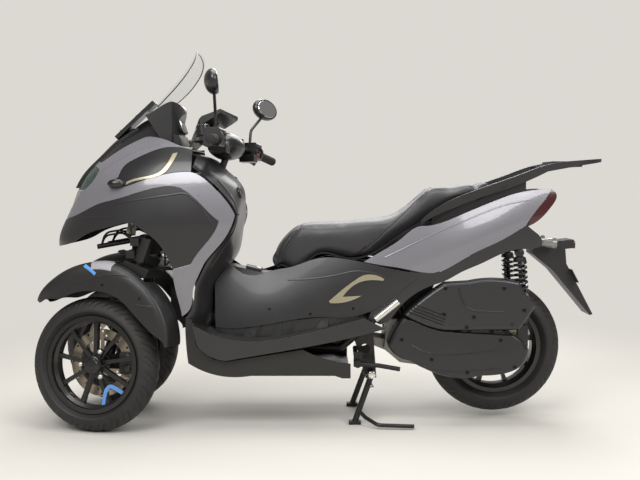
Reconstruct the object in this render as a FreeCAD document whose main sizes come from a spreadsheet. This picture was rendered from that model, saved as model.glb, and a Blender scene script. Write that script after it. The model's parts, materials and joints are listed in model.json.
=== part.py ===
"""A leaning three-wheel scooter, two wheels in front and one behind, on its centre stand.

Millimetres. The front points to -X, the left side to -Y and up is +Z. The origin is on
the floor under the middle of the vehicle. The front wheels are turned a little to the
right, as the vehicle was left standing.
"""
import FreeCAD, Part
import Sketcher
import math
import os
from types import SimpleNamespace

V = FreeCAD.Vector
DOC = FreeCAD.newDocument("Trike")
SHEET = DOC.addObject("Spreadsheet::Sheet", "Sizes")

SIZES = (
    # axles and steering
    ("wheelbase", 1595), ("front_axle_x", -900), ("track", 470),
    ("caster_deg", 20), ("steer_offset", 27.5), ("steer_rest_deg", 15),
    ("column_x", -400), ("column_z", 1100),
    # wheels
    ("front_tyre_radius", 261.8), ("front_tyre_width", 120), ("front_crown", 61),
    ("rear_tyre_radius", 275.8), ("rear_tyre_width", 140), ("rear_crown", 74),
    ("rear_lift", 22), ("tread_depth", 11), ("bead_inset", 22),
    ("rim_radius", 178), ("rim_wall", 5), ("rim_lip", 190),
    ("tyre_clearance", 0.4), ("hub_radius", 36), ("spoke_count", 9), ("spoke_width", 15),
    ("axle_radius", 9), ("disc_radius", 133), ("disc_thickness", 5), ("disc_hole", 5),
    ("disc_side", 46), ("fork_side", 92), ("fork_tube_radius", 19), ("fork_spacing", 62),
    ("arm_side", 112), ("drive_side", 122), ("muffler_side", 208), ("muffler_radius", 58),
    # panels
    ("wall", 4), ("panel_gap", 1.2), ("brow_half_width", 46), ("brow_rise", 10), ("fender_wall", 3),
    ("fender_half_width", 80), ("screen_thickness", 4), ("ledge_y", 124.5),
    # frame and stand
    ("frame_tube", 17), ("rail_tube", 14), ("stand_half_width", 150),
    ("stand_pivot_x", 186), ("stand_pivot_z", 199), ("stand_pivot_radius", 15),
    ("side_stand_x", 128), ("side_stand_y", -178), ("side_stand_z", 250), ("side_stand_tube", 9),
    ("side_stand_pin", 6), ("side_stand_length", 168), ("running_gap", 0.3), ("hose_radius", 4),
    # rear springs
    ("shock_side", 118), ("shock_top_x", 778), ("shock_top_z", 690), ("shock_foot_x", 800),
    ("shock_foot_z", 400), ("spring_radius", 23), ("spring_wire", 5), ("spring_turns", 9), ("shock_seat", 2),
    ("louvre_count", 4), ("cover_round", 14),
    # handlebar
    ("bar_tube", 11), ("grip_radius", 17), ("grip_length", 120), ("bar_half_width", 385), ("control_top", 1160),
    ("column_radius", 14), ("mirror_toe_deg", 22), ("mirror_tilt_deg", 10),
    # mounts
    ("plate_hole_pitch", 140), ("plate_hole", 3.5), ("carrier_pitch_x", 90),
    ("carrier_pitch_y", 130), ("carrier_hole", 4.5),
)
DRAWN_WHEELBASE = 1595.0
FLOOR_FRONT = -300.0
FLOOR_REAR = -60.0


def fill_sheet():
    """Write every driving size into the sheet under its name."""
    for row, (name, value) in enumerate(SIZES, 1):
        SHEET.set(f"A{row}", name)
        SHEET.set(f"B{row}", str(value))
        SHEET.setAlias(f"B{row}", name)
    DOC.recompute()
    return SimpleNamespace(**{name: float(SHEET.get(name)) for name, _ in SIZES})


S = fill_sheet()
REAR_X = S.front_axle_x + S.wheelbase
REAR_Z = S.rear_tyre_radius + S.rear_lift
HALF_TRACK = S.track / 2
CASTER = math.radians(S.caster_deg)
STEER_AXIS = V(math.sin(CASTER), 0, math.cos(CASTER))
REST_TURN = FreeCAD.Rotation(STEER_AXIS, -S.steer_rest_deg)
PARTS = []


def front_axle_height():
    """Height of the straight-ahead axle that puts the turned, tilted tyre on the floor."""
    tilt = math.asin(math.sin(CASTER) * math.sin(math.radians(S.steer_rest_deg)))
    flat = S.front_tyre_radius - S.front_crown
    shift = REST_TURN.multVec(V(-S.steer_offset, 0, 0)).z
    return flat * math.cos(tilt) + S.front_crown - shift


FRONT_Z = front_axle_height()
KING_X = S.front_axle_x + S.steer_offset


def station(x):
    """Move a drawn station with the rear axle, the floor taking up the change."""
    share = min(max((x - FLOOR_FRONT) / (FLOOR_REAR - FLOOR_FRONT), 0.0), 1.0)
    return x + share * (S.wheelbase - DRAWN_WHEELBASE)


# Outlines, prisms and lofts


def edge(points):
    """A line through two points, or a smooth curve through more."""
    if len(points) == 2:
        return Part.makeLine(points[0], points[1])
    curve = Part.BSplineCurve()
    curve.interpolate(points)
    return curve.toShape()


def closed_face(runs, to_point):
    """A face inside runs of 2-D points, each run starting where the last one ended."""
    edges = [edge([to_point(a, b) for a, b in run]) for run in runs]
    if runs[-1][-1] != runs[0][0]:
        edges.append(edge([to_point(*runs[-1][-1]), to_point(*runs[0][0])]))
    return Part.Face(Part.Wire(edges))


def side_prism(runs, y0, y1):
    """A side-view outline extruded from y0 to y1."""
    face = closed_face(runs, lambda x, z: V(station(x), y0, z))
    return face.extrude(V(0, y1 - y0, 0))


def both_sides(shape):
    """A shape and its mirror image in the middle plane, as one compound."""
    return Part.makeCompound([shape, shape.mirror(V(0, 0, 0), V(0, 1, 0))])


def solids_of(shape, least=200.0):
    """The solids of a shape, without slivers, as one shape."""
    kept = [s for s in shape.Solids if s.Volume > least]
    return kept[0] if len(kept) == 1 else Part.makeCompound(kept)


def band(points, thickness, y0, y1):
    """A strip that follows a side-view line, thickness to its left, from y0 to y1."""
    left = []
    count = len(points)
    for i, (x, z) in enumerate(points):
        ax, az = points[max(i - 1, 0)]
        bx, bz = points[min(i + 1, count - 1)]
        length = math.hypot(bx - ax, bz - az)
        left.append((x - (bz - az) / length * thickness, z + (bx - ax) / length * thickness))
    back = left[::-1]
    runs = [points, [points[-1], back[0]], back]
    return side_prism(runs, y0, y1)


def region(runs, *neighbours):
    """A side-view region with a panel gap cut from it along each neighbour."""
    face = closed_face(runs, lambda x, z: V(station(x), 0, z))
    gap = S.panel_gap
    for other in neighbours:
        copies = [other]
        for dx, dz in ((gap, 0), (-gap, 0), (0, gap), (0, -gap)):
            copy = other.copy()
            copy.translate(V(dx, 0, dz))
            copies.append(copy)
        face = face.cut(copies)
    return face


def left_panel(outer, inner, face, reach=400.0, start=0.0):
    """What a side-view region keeps of the left half of a thin-walled form."""
    tool = face.copy()
    tool.translate(V(0, -start, 0))
    wall = outer.common(tool.extrude(V(0, -reach, 0)))
    return wall if inner is None else wall.cut(inner)


def across(shape):
    """A left-hand piece joined to its mirror image in the middle plane."""
    return shape.fuse(shape.mirror(V(0, 0, 0), V(0, 1, 0))).removeSplitter()


def plan_wire(z, nose, rear, half, middle):
    """Half a bullet-shaped plan curve, from the nose back to a straight rear edge."""
    length = rear - nose
    shares = ((0.0, 0.0), (0.035, 0.30), (0.14, 0.60), (0.34, 0.86), (0.62, 0.985), (1.0, 1.0))
    points = [V(nose + a * length, -b * half, z) for a, b in shares]
    curve = Part.BSplineCurve()
    curve.interpolate(Points=points, Parameters=[0.0, 1.0, 2.0, 3.0, 4.0, 5.0],
                      InitialTangent=V(0, -half * 0.45, 0), FinalTangent=V(length * 0.4, 0, 0))
    corners = [points[-1], V(rear, middle, z), V(nose, middle, z)]
    lines = [Part.makeLine(corners[0], corners[1]), Part.makeLine(corners[1], corners[2])]
    if middle > 0:
        lines.append(Part.makeLine(corners[2], points[0]))
    return Part.Wire([curve.toShape()] + lines)


def section_wire(x, z0, z1, halves, middle):
    """Half a cross-section at x: the half-widths are spaced evenly from z0 up to z1."""
    steps = len(halves) - 1
    points = [V(x, -w, z0 + (z1 - z0) * i / steps) for i, w in enumerate(halves)]
    curve = Part.BSplineCurve()
    curve.interpolate(Points=points, Parameters=[float(i) for i in range(steps + 1)])
    top = V(x, middle, z1)
    bottom = V(x, middle, z0)
    return Part.Wire([curve.toShape(), Part.makeLine(points[-1], top),
                      Part.makeLine(top, bottom), Part.makeLine(bottom, points[0])])


def loft(wires, ruled=False):
    """A solid through closed wires."""
    return Part.makeLoft(wires, True, ruled, False, 3)


# Document objects


def add(label, shape, placement=None):
    """A sub-part whose shape is worked out here, placed after its shape is set."""
    feature = DOC.addObject("Part::Feature", label)
    feature.Label = label
    feature.Shape = shape
    if placement is not None:
        feature.Placement = placement
    PARTS.append(feature)
    return feature


def keep(obj, label):
    """Take a document object as a finished sub-part."""
    obj.Label = label
    PARTS.append(obj)
    return obj


def new_body(label):
    """An empty body with the sub-part's label."""
    body = DOC.addObject("PartDesign::Body", label)
    body.Label = label
    return body


def new_sketch(body, name, role):
    """A sketch on one of the body's own origin planes."""
    plane = next(f for f in body.Origin.OriginFeatures if f.Role == role)
    sketch = body.newObject("Sketcher::SketchObject", name)
    sketch.AttachmentSupport = (plane, [""])
    sketch.MapMode = "FlatFace"
    return sketch


def sketch_circle(sketch, name, radius, x=0.0, y=0.0):
    """A circle whose radius follows a cell or a formula of the sheet."""
    geo = sketch.addGeometry(Part.Circle(V(x, y, 0), V(0, 0, 1), 1.0), False)
    index = sketch.addConstraint(Sketcher.Constraint("Radius", geo, 1.0))
    sketch.renameConstraint(index, name)
    sketch.setExpression(f"Constraints.{name}", radius)
    return geo


def sketch_polygon(sketch, points):
    """A closed run of straight lines."""
    count = len(points)
    for i, (x, y) in enumerate(points):
        bx, by = points[(i + 1) % count]
        sketch.addGeometry(Part.LineSegment(V(x, y, 0), V(bx, by, 0)), False)


def pad(body, sketch, name, length, midplane=False, reverse=False):
    """A pad whose length follows the sheet."""
    feature = body.newObject("PartDesign::Pad", name)
    feature.Profile = sketch
    feature.setExpression("Length", length)
    feature.SideType = "Symmetric" if midplane else "One side"
    feature.Reversed = reverse
    return feature


def path_wire(points, bend):
    """Straight runs joined by tangent arcs of one bend radius."""
    points = [V(*p) for p in points]
    edges = []
    start = points[0]
    for before, corner, after in zip(points, points[1:], points[2:]):
        a = (before - corner).normalize()
        b = (after - corner).normalize()
        half = a.getAngle(b) / 2
        reach = bend / math.tan(half)
        reach = min(reach, (before - corner).Length * 0.48, (after - corner).Length * 0.48)
        radius = reach * math.tan(half)
        centre = corner + (a + b).normalize() * (radius / math.sin(half))
        first = corner + a * reach
        last = corner + b * reach
        middle = centre + (corner - centre).normalize() * radius
        edges.append(Part.makeLine(start, first))
        edges.append(Part.Arc(first, middle, last).toShape())
        start = last
    edges.append(Part.makeLine(start, points[-1]))
    return Part.Wire(edges)


def rod(points, radius, bend=40.0):
    """A round bar along straight runs and arcs."""
    wire = path_wire(points, bend)
    first = wire.Edges[0]
    direction = first.tangentAt(first.FirstParameter)
    ring = Part.Wire(Part.Circle(first.valueAt(first.FirstParameter), direction, radius).toShape())
    return wire.makePipeShell([ring], True, True)


def cylinder_between(a, b, radius):
    """A straight round bar from a to b."""
    a, b = V(*a), V(*b)
    return Part.makeCylinder(radius, (b - a).Length, a, b - a)


def box_at(x0, x1, y0, y1, z0, z1):
    """A box between two corners."""
    return Part.makeBox(x1 - x0, y1 - y0, z1 - z0, V(x0, y0, z0))


def fused(*shapes):
    """Shapes joined into one."""
    return shapes[0].fuse(list(shapes[1:])).removeSplitter()


def steered(side):
    """Placement that turns a straight-ahead front piece about its own steering axis."""
    pivot = V(KING_X, side * HALF_TRACK, FRONT_Z)
    return FreeCAD.Placement(V(0, 0, 0), REST_TURN, pivot)


def column_turn():
    """Placement that turns the handlebar about the column."""
    return FreeCAD.Placement(V(0, 0, 0), REST_TURN, V(S.column_x, 0, S.column_z))


# Wheels, drawn round the body's own Y axis


def tyre_profile(radius, width, crown, inner):
    """Half-section of a tyre: round crown, bulged walls and beads, as (y, r) points."""
    half = width / 2
    lean = math.asin(min(half / crown, 1) * 0.94)
    bead = half - S.bead_inset
    centre = radius - crown

    def on_crown(depth):
        return ((crown - depth) * math.sin(lean), centre + (crown - depth) * math.cos(lean))

    shoulder = on_crown(0)
    middle = (shoulder[1] + inner) / 2 + 6
    outer = [shoulder, (half, middle), (bead, S.rim_lip + 2)]
    inside = [(bead - 9, inner + 14), (half - 10, middle - 3), on_crown(S.tread_depth)]
    return outer, inside, bead


def make_tyre(label, radius, width, crown, placement):
    """A hollow tyre as a turned body."""
    body = new_body(label)
    sketch = new_sketch(body, label + "_section", "XY_Plane")
    rim = S.rim_radius + S.tyre_clearance
    outer, inside, bead = tyre_profile(radius, width, crown, rim)
    top = V(0, radius, 0)

    def arc(a, m, b):
        sketch.addGeometry(Part.Arc(V(*a, 0), V(*m, 0), V(*b, 0)), False)

    def line(a, b):
        sketch.addGeometry(Part.LineSegment(V(*a, 0), V(*b, 0)), False)

    def flip(point):
        return (-point[0], point[1])

    arc(flip(outer[0]), (top.x, top.y), outer[0])
    arc(outer[0], outer[1], outer[2])
    line(outer[2], (bead, rim))
    line((bead, rim), (bead - 10, rim))
    line((bead - 10, rim), inside[0])
    arc(inside[0], inside[1], inside[2])
    arc(inside[2], (0, radius - S.tread_depth), flip(inside[2]))
    arc(flip(inside[2]), flip(inside[1]), flip(inside[0]))
    line(flip(inside[0]), (10 - bead, rim))
    line((10 - bead, rim), (-bead, rim))
    line((-bead, rim), flip(outer[2]))
    arc(flip(outer[2]), flip(outer[1]), flip(outer[0]))
    turn_about_y(body, sketch, label + "_turned")
    body.Placement = placement
    return keep(body, label)


def turn_about_y(body, sketch, name):
    """Turn a section drawn as (axial, radial) round the body's X axis."""
    feature = body.newObject("PartDesign::Revolution", name)
    feature.Profile = sketch
    feature.ReferenceAxis = (sketch, ["H_Axis"])
    feature.Angle = 360
    return feature


AXIAL = FreeCAD.Rotation(V(0, 0, 1), 90)


def wheel_place(side):
    """Placement of a front wheel whose body axis is X: axle across, then steered."""
    at_axle = FreeCAD.Placement(V(S.front_axle_x, side * HALF_TRACK, FRONT_Z), AXIAL)
    return steered(side).multiply(at_axle)


def rear_place():
    """Placement of the rear wheel whose body axis is X."""
    return FreeCAD.Placement(V(REAR_X, 0, REAR_Z), AXIAL)


def make_rim(label, tyre_width, placement, bore):
    """A cast rim: barrel with lips, hub and slim spokes in a polar pattern."""
    body = new_body(label)
    sketch = new_sketch(body, label + "_section", "XY_Plane")
    r, w, lip = S.rim_radius, S.rim_wall, S.rim_lip
    seat = tyre_width / 2 - S.bead_inset + S.tyre_clearance
    half = seat + w
    well = r - 12
    sketch_polygon(sketch, [
        (-half, lip), (-seat, lip), (-seat, r), (-seat + 16, r), (-seat + 26, well),
        (seat - 26, well), (seat - 16, r), (seat, r), (seat, lip), (half, lip),
        (half, r - w), (seat - 14, r - w), (seat - 24, well - w), (-seat + 24, well - w),
        (-seat + 14, r - w), (-half, r - w)])
    turn_about_y(body, sketch, label + "_barrel")
    hub_sketch = new_sketch(body, label + "_hub_circles", "YZ_Plane")
    sketch_circle(hub_sketch, "hub", "Sizes.hub_radius")
    sketch_circle(hub_sketch, "bore", bore)
    hub = pad(body, hub_sketch, label + "_hub", "Sizes.disc_side * 1.5", midplane=True)
    spoke_sketch = new_sketch(body, label + "_spoke_outline", "YZ_Plane")
    a = S.spoke_width / 2
    inner = math.sqrt(S.hub_radius ** 2 - (a + 4) ** 2) - 3
    sketch_polygon(spoke_sketch, [
        (-a - 4, inner), (a + 4, inner), (a, inner + 28), (a, r - 40), (a + 3, r - 12 - w / 2),
        (-a - 3, r - 12 - w / 2), (-a, r - 40), (-a, inner + 28)])
    spoke = pad(body, spoke_sketch, label + "_spoke", "Sizes.spoke_width * 1.5", midplane=True)
    pattern = body.newObject("PartDesign::PolarPattern", label + "_spokes")
    pattern.Originals = [spoke]
    axis = next(f for f in body.Origin.OriginFeatures if f.Role == "X_Axis")
    pattern.Axis = (axis, [""])
    pattern.Angle = 360
    pattern.setExpression("Occurrences", "Sizes.spoke_count")
    body.Tip = pattern
    body.Placement = placement
    return keep(body, label)


def make_disc(label, placement, offset):
    """A drilled brake disc with a wavy carrier, offset along the axle."""
    body = new_body(label)
    sketch = new_sketch(body, label + "_rings", "YZ_Plane")
    sketch_circle(sketch, "outer", "Sizes.disc_radius")
    sketch_circle(sketch, "inner", "Sizes.disc_radius - 38")
    pad(body, sketch, label + "_ring", "Sizes.disc_thickness", midplane=True)
    arm_sketch = new_sketch(body, label + "_arm_outline", "YZ_Plane")
    inner = S.hub_radius - 12
    sketch_polygon(arm_sketch, [
        (-9, inner), (9, inner), (7, S.disc_radius - 34), (-7, S.disc_radius - 34)])
    arm = pad(body, arm_sketch, label + "_arm", "Sizes.disc_thickness - 1", midplane=True)
    pattern = body.newObject("PartDesign::PolarPattern", label + "_arms")
    pattern.Originals = [arm]
    axis = next(f for f in body.Origin.OriginFeatures if f.Role == "X_Axis")
    pattern.Axis = (axis, [""])
    pattern.Angle = 360
    pattern.Occurrences = 5
    middle = new_sketch(body, label + "_middle_rings", "YZ_Plane")
    sketch_circle(middle, "outside", "Sizes.hub_radius - 2")
    sketch_circle(middle, "inside", "Sizes.hub_radius - 14")
    pad(body, middle, label + "_middle", "Sizes.disc_thickness - 1", midplane=True)
    hole_sketch = new_sketch(body, label + "_hole_circles", "YZ_Plane")
    sketch_circle(hole_sketch, "hole_a", "Sizes.disc_hole", S.disc_radius - 9, 0)
    sketch_circle(hole_sketch, "hole_b", "Sizes.disc_hole", S.disc_radius - 27, 16)
    hole = body.newObject("PartDesign::Pocket", label + "_hole")
    hole.Profile = hole_sketch
    hole.Type = 1
    hole.SideType = "Symmetric"
    holes = body.newObject("PartDesign::PolarPattern", label + "_holes")
    holes.Originals = [hole]
    holes.Axis = (axis, [""])
    holes.Angle = 360
    holes.Occurrences = 12
    body.Tip = holes
    shift = FreeCAD.Placement(V(offset, 0, 0), FreeCAD.Rotation())
    body.Placement = placement.multiply(shift)
    return keep(body, label)


def front_wheels():
    """Both front wheels: tyre, rim and inboard disc."""
    for name, side in (("l", -1), ("r", 1)):
        place = wheel_place(side)
        make_tyre(f"front_tyre_{name}", S.front_tyre_radius, S.front_tyre_width,
                  S.front_crown, place)
        make_rim(f"front_rim_{name}", S.front_tyre_width, place,
                 "Sizes.axle_radius + Sizes.running_gap")
        make_disc(f"front_disc_{name}", place, -side * (S.disc_side + 2))


def rear_wheel():
    """Rear wheel: tyre, rim and disc on the right."""
    place = rear_place()
    make_tyre("rear_tyre", S.rear_tyre_radius, S.rear_tyre_width, S.rear_crown, place)
    make_rim("rear_rim", S.rear_tyre_width, place, "Sizes.axle_radius + Sizes.running_gap")
    make_disc("rear_disc", place, S.disc_side + 2)


# Front legs, fenders and the lean linkage


def along_axis(side, height, aft=0.0, inboard=0.0):
    """A point on a steering axis at a height, moved aft and inboard of it."""
    x = KING_X + (height - FRONT_Z) * math.tan(CASTER) + aft
    return V(x, side * (HALF_TRACK - inboard), height)


def fork(side, label):
    """Stub axle, lower lug, two legs and the bridge that carries them over the tyre."""
    axle = V(S.front_axle_x, side * HALF_TRACK, FRONT_Z)
    inner_y = side * (HALF_TRACK - S.fork_side)
    stub = cylinder_between((axle.x, axle.y + side * 44, axle.z),
                            (axle.x, inner_y - side * 14, axle.z), S.axle_radius)
    direction = STEER_AXIS
    legs = []
    for aft in (-0.1, 0.9):
        foot = V(axle.x + aft * S.fork_spacing, inner_y, axle.z)
        length = 420 - aft * 20
        legs.append(Part.makeCylinder(S.fork_tube_radius, length, foot, direction))
        legs.append(Part.makeCylinder(S.fork_tube_radius + 5, 190, foot, direction))
    lug = side_slab([[(axle.x - 34, axle.z - 26), (axle.x + 80, axle.z - 26)],
                     [(axle.x + 80, axle.z - 26), (axle.x + 96, axle.z + 30)],
                     [(axle.x + 96, axle.z + 30), (axle.x - 16, axle.z + 30)]],
                    inner_y - 20, inner_y + 20)
    crown = bridge(side, inner_y)
    pin = Part.makeCylinder(11, 100, along_axis(side, 648), direction)
    shape = fused(stub, lug, *legs, crown, pin)
    return add(label, shape, steered(side))


def side_slab(runs, y0, y1):
    """A slab from a side outline given in vehicle coordinates, not moved by the floor."""
    face = closed_face(runs, lambda x, z: V(x, y0, z))
    return face.extrude(V(0, y1 - y0, 0))


def bridge(side, inner_y):
    """The cast bridge above the tyre; its top is square to the steering axis."""
    low = along_axis(side, 600)
    high = along_axis(side, 652)
    slope = math.tan(CASTER)
    rear, front = 60, -44
    runs = [[(low.x - 48, low.z), (low.x + 62, low.z)],
            [(low.x + 62, low.z), (high.x + rear, high.z - rear * slope)],
            [(high.x + rear, high.z - rear * slope), (high.x + front, high.z - front * slope)]]
    outer_y = side * (HALF_TRACK + 30)
    y0, y1 = sorted((inner_y - side * 24, outer_y))
    return side_slab(runs, y0, y1)


def knuckle(side):
    """A bearing housing round the steering pin with a flat front face for the arms."""
    return Part.makeCylinder(24, 96, along_axis(side, 664), STEER_AXIS)


def lean_linkage():
    """The knuckles and cross arms as one sub-part of plain castings."""
    shapes = []
    for side in (-1, 1):
        shapes.append(knuckle(side))
    for height in (692, 740):
        x = along_axis(1, height).x
        bar = box_at(x - 58, x - 24.5, -HALF_TRACK - 18, HALF_TRACK + 18, height - 14, height + 14)
        shapes.append(bar)
    x = along_axis(1, 692).x
    shapes.append(box_at(x - 44, x + 40, -42, 42, 676, 756))
    for side in (-1, 1):
        shapes.append(cylinder_between((x - 74, side * 34, 716), (x - 20, side * 34, 716), 21))
        shapes.append(rod([(x - 60, side * 30, 660), (x - 100, side * 90, 694),
                           (x - 100, side * 190, 697), (x - 50, side * 214, 699)], 7))
        shapes.append(cylinder_between((x - 205, side * 92, 712), (x - 50, side * 92, 740), 10))
        for lift in (0, 12):
            shapes.append(rod([(x - 190, side * 92, 716), (x - 170, side * 110, 758 + lift),
                               (x - 90, side * 150, 772 + lift), (x - 40, side * 190, 742)],
                              S.hose_radius, 60))
    shapes.append(cylinder_between((x - 60, -34, 660), (x - 60, 34, 660), 9))
    shapes.append(box_at(x - 66, x - 44, -12, 12, 636, 700))
    whole = fused(*shapes)
    for side in (-1, 1):
        base = along_axis(side, 664)
        bore = Part.makeCylinder(11 + S.running_gap, 300, base - STEER_AXIS * 90, STEER_AXIS)
        whole = whole.cut(bore)
    return add("lean_linkage", solids_of(whole))


FENDER = ((134.5, 332, 349, 40), (129, 318, 358, 60), (121, 296, 370, 72), (112, 281, 381, 78),
          (101, 285, 393, 80), (88, 288, 404, 80), (76, 291, 411, 80), (65, 290, 404, 80),
          (54, 282, 395, 79), (42, 278, 384, 77), (30, 288, 368, 74), (21, 312, 352, 70),
          (14, 322, 337, 66))


def fender_section(angle, low, top, half):
    """One thin arch in the plane at an angle round the axle: low and top are radii."""
    turn = math.radians(angle)
    out = V(math.cos(turn), 0, math.sin(turn))
    drop = top - low

    def arch(reach, crown):
        sides = ((1.0, 0.0), (1.0, 0.45), (0.96, 0.74), (0.72, 0.94), (0.0, 1.0))
        right = [V(0, reach * a, 0) + out * (low + (crown - low) * b) for a, b in sides]
        points = right + [V(p.x, -p.y, p.z) for p in reversed(right[:-1])]
        curve = Part.BSplineCurve()
        curve.interpolate(Points=points, Parameters=[float(i) for i in range(len(points))])
        return points, curve.toShape()

    wall = min(S.fender_wall, drop * 0.4)
    outer, outer_edge = arch(half, top)
    inner, inner_edge = arch(half - S.fender_wall, top - wall)
    return Part.Wire([outer_edge, Part.makeLine(outer[-1], inner[-1]), inner_edge,
                      Part.makeLine(inner[0], outer[0])])


def fender(side, label):
    """A deep fender arched over the tyre, cut open on its inboard side for the legs."""
    shell = loft([fender_section(*row) for row in FENDER])
    y = side * HALF_TRACK
    shell.translate(V(S.front_axle_x, y, FRONT_Z))
    half = S.fender_half_width
    slot_y = sorted((y - side * (half - 30), y - side * (half + 20)))
    slot = box_at(-860, -640, slot_y[0], slot_y[1], 300, 690)
    hole_y = sorted((y - side * (half + 20), y + side * 45))
    hole = box_at(-806, -655, hole_y[0], hole_y[1], 585, 700)
    return add(label, solids_of(shell.cut([slot, hole])), steered(side))


def caliper(side, label):
    """A two-piston caliper on the rear edge of the disc."""
    axle = V(S.front_axle_x, side * HALF_TRACK, FRONT_Z)
    disc_y = side * (HALF_TRACK - S.disc_side - 2)
    x0 = axle.x + 84
    block = box_at(x0, x0 + 62, disc_y - 20, disc_y + 20, axle.z - 40, axle.z + 45)
    slot = box_at(x0 - 1, x0 + 53, disc_y - 4, disc_y + 4, axle.z - 41, axle.z + 46)
    shape = block.cut(slot)
    return add(label, shape, steered(side))


def front_legs():
    """Everything that turns with a front wheel but doesn't spin."""
    for name, side in (("l", -1), ("r", 1)):
        fork(side, f"fork_{name}")
        fender(side, f"fender_{name}")
        caliper(side, f"front_caliper_{name}")


# Front body


NOSE = ((430, -1060, 236), (560, -1085, 250), (680, -1090, 262), (754, -1095, 268),
        (824, -1066, 270), (880, -1040, 266), (940, -1018, 258), (1000, -985, 246),
        (1056, -934, 222), (1110, -880, 188), (1160, -824, 150), (1200, -772, 112),
        (1232, -716, 72))
NOSE_REAR = -240.0


def front_envelope(inset, cutter=False):
    """The left half of the front body as one closed form, inset by a wall.

    A cutter runs past the middle plane.
    """
    wires = []
    for i, (z, nose, half) in enumerate(NOSE):
        closed_top = cutter and inset > 0 and i == len(NOSE) - 1
        height = z - inset if closed_top else z
        middle = 20 if cutter else 0
        wires.append(plan_wire(height, nose + inset * 1.2, NOSE_REAR, half - inset, middle))
    return loft(wires)


GREY = [
    [(-1130, 822), (-1066, 822), (-987, 845), (-890, 888), (-813, 907), (-736, 930),
     (-659, 950), (-601, 957), (-562, 950), (-524, 926), (-485, 892), (-447, 853), (-411, 823)],
    [(-411, 823), (-445, 757), (-484, 711), (-522, 653)],
    [(-522, 653), (-592, 634)],
    [(-592, 634), (-588, 576), (-576, 519), (-561, 449)],
    [(-561, 449), (-522, 499), (-515, 557), (-491, 615), (-465, 665), (-426, 711),
     (-388, 757), (-361, 807), (-349, 846)],
    [(-349, 846), (-388, 907), (-445, 965), (-484, 996), (-533, 1013)],
    [(-533, 1013), (-520, 1110)],
    [(-520, 1110), (-562, 1112), (-622, 1136), (-683, 1152), (-703, 1154), (-743, 1142),
     (-823, 1102), (-903, 1050)],
    [(-903, 1050), (-1000, 1100)],
    [(-1000, 1100), (-1130, 1100)]]
BLADE = [
    [(-846, 949), (-777, 957), (-719, 977), (-641, 1000), (-564, 1012), (-520, 1013)],
    [(-520, 1013), (-520, 1097)],
    [(-520, 1097), (-585, 1109), (-643, 1105), (-701, 1085), (-759, 1058), (-798, 1027),
     (-814, 992), (-846, 975)]]
LOWER = [
    [(-1130, 700), (-1068, 716), (-998, 737), (-960, 760), (-886, 787), (-794, 811)],
    [(-794, 811), (-751, 811), (-694, 776), (-659, 749), (-620, 695), (-593, 637)],
    [(-593, 637), (-585, 626)],
    [(-585, 626), (-515, 640), (-470, 695), (-432, 750), (-398, 823)],
    [(-398, 823), (-480, 905), (-560, 965), (-660, 965), (-815, 920), (-990, 862), (-1130, 840)]]
LAMP = [
    [(-1040, 940), (-1010, 990), (-970, 1030), (-905, 1022)],
    [(-905, 1022), (-930, 975), (-975, 940)]]
LENS = [
    [(-1075, 868), (-1060, 915), (-1030, 938)],
    [(-1030, 938), (-985, 934), (-1005, 900), (-1030, 872)]]


def front_panels():
    """Grey upper cowl, dark lower cowl, blades, lamps and the brow between them."""
    outer = front_envelope(0)
    inner = front_envelope(S.wall, True)
    blade = region(BLADE)
    lamp = region(LAMP)
    lens = region(LENS, lamp)
    grey_whole = region(GREY)
    grey = region(GREY, blade, lamp, lens)
    brow_half = S.brow_half_width
    panel = left_panel(outer, inner, grey)
    slot = box_at(-1200, -500, -brow_half - S.panel_gap, 10, 946, 1250)
    add("upper_cowl", across(solids_of(panel.cut(slot))))
    lower = left_panel(outer, inner, region(LOWER, grey_whole, blade))
    add("lower_cowl", across(solids_of(lower)))
    add("cowl_blades", both_sides(fused(solids_of(left_panel(outer, inner, blade)), signal_pod())))
    glass = left_panel(outer, inner, lamp, start=brow_half + 6)
    clear = left_panel(outer, inner, lens, start=brow_half)
    add("front_lamps", both_sides(Part.makeCompound(glass.Solids + clear.Solids)))
    top = left_panel(outer, inner, region(TOP, grey_whole, blade, region(SHROUD)))
    top = max(top.Solids, key=lambda solid: solid.Volume)
    ridge = left_panel(front_envelope(-S.brow_rise), inner, region(RIDGE), reach=brow_half)
    add("cowl_brow", across(solids_of(fused(top, ridge))))


def signal_pod():
    """The egg-shaped front signal at the leading end of a blade, turned, with small flat ends."""
    middle = V(-817, -207, 966)
    blunt = math.radians(14)
    half = Part.Ellipse(middle, 34.0, 18.5).toShape(blunt, math.pi - blunt)
    first, last = (end.Point for end in half.Vertexes)
    sides = Part.makePolygon([last, V(last.x, middle.y, middle.z),
                              V(first.x, middle.y, middle.z), first])
    return Part.Face(Part.Wire([half] + sides.Edges)).revolve(middle, V(1, 0, 0), 360)


RIDGE = [[(-1130, 948), (-900, 948)], [(-900, 948), (-760, 1100)], [(-760, 1100), (-760, 1190)],
         [(-760, 1190), (-1130, 1190)]]
TOP = [
    [(-1000, 1020), (-903, 1041), (-823, 1093), (-743, 1133), (-703, 1145), (-683, 1145),
     (-622, 1129), (-562, 1105)],
    [(-562, 1105), (-592, 1250), (-1000, 1250)]]


def windscreen():
    """A clear screen, bent back at its sides, through four level sections."""
    levels = ((-704, 1270, 118), (-634, 1345, 150), (-582, 1405, 166), (-522, 1502, 150))
    sheet = loft([screen_wire(x, z, half) for x, z, half in levels])
    outline = [[(-152, 1200), (152, 1200)], [(152, 1200), (152, 1400)],
               [(152, 1400), (130, 1458), (76, 1493), (0, 1502), (-76, 1493), (-130, 1458),
                (-152, 1400)]]
    face = closed_face(outline, lambda y, z: V(-800, y, z))
    return add("windscreen", solids_of(sheet.common(face.extrude(V(500, 0, 0)))))


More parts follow.
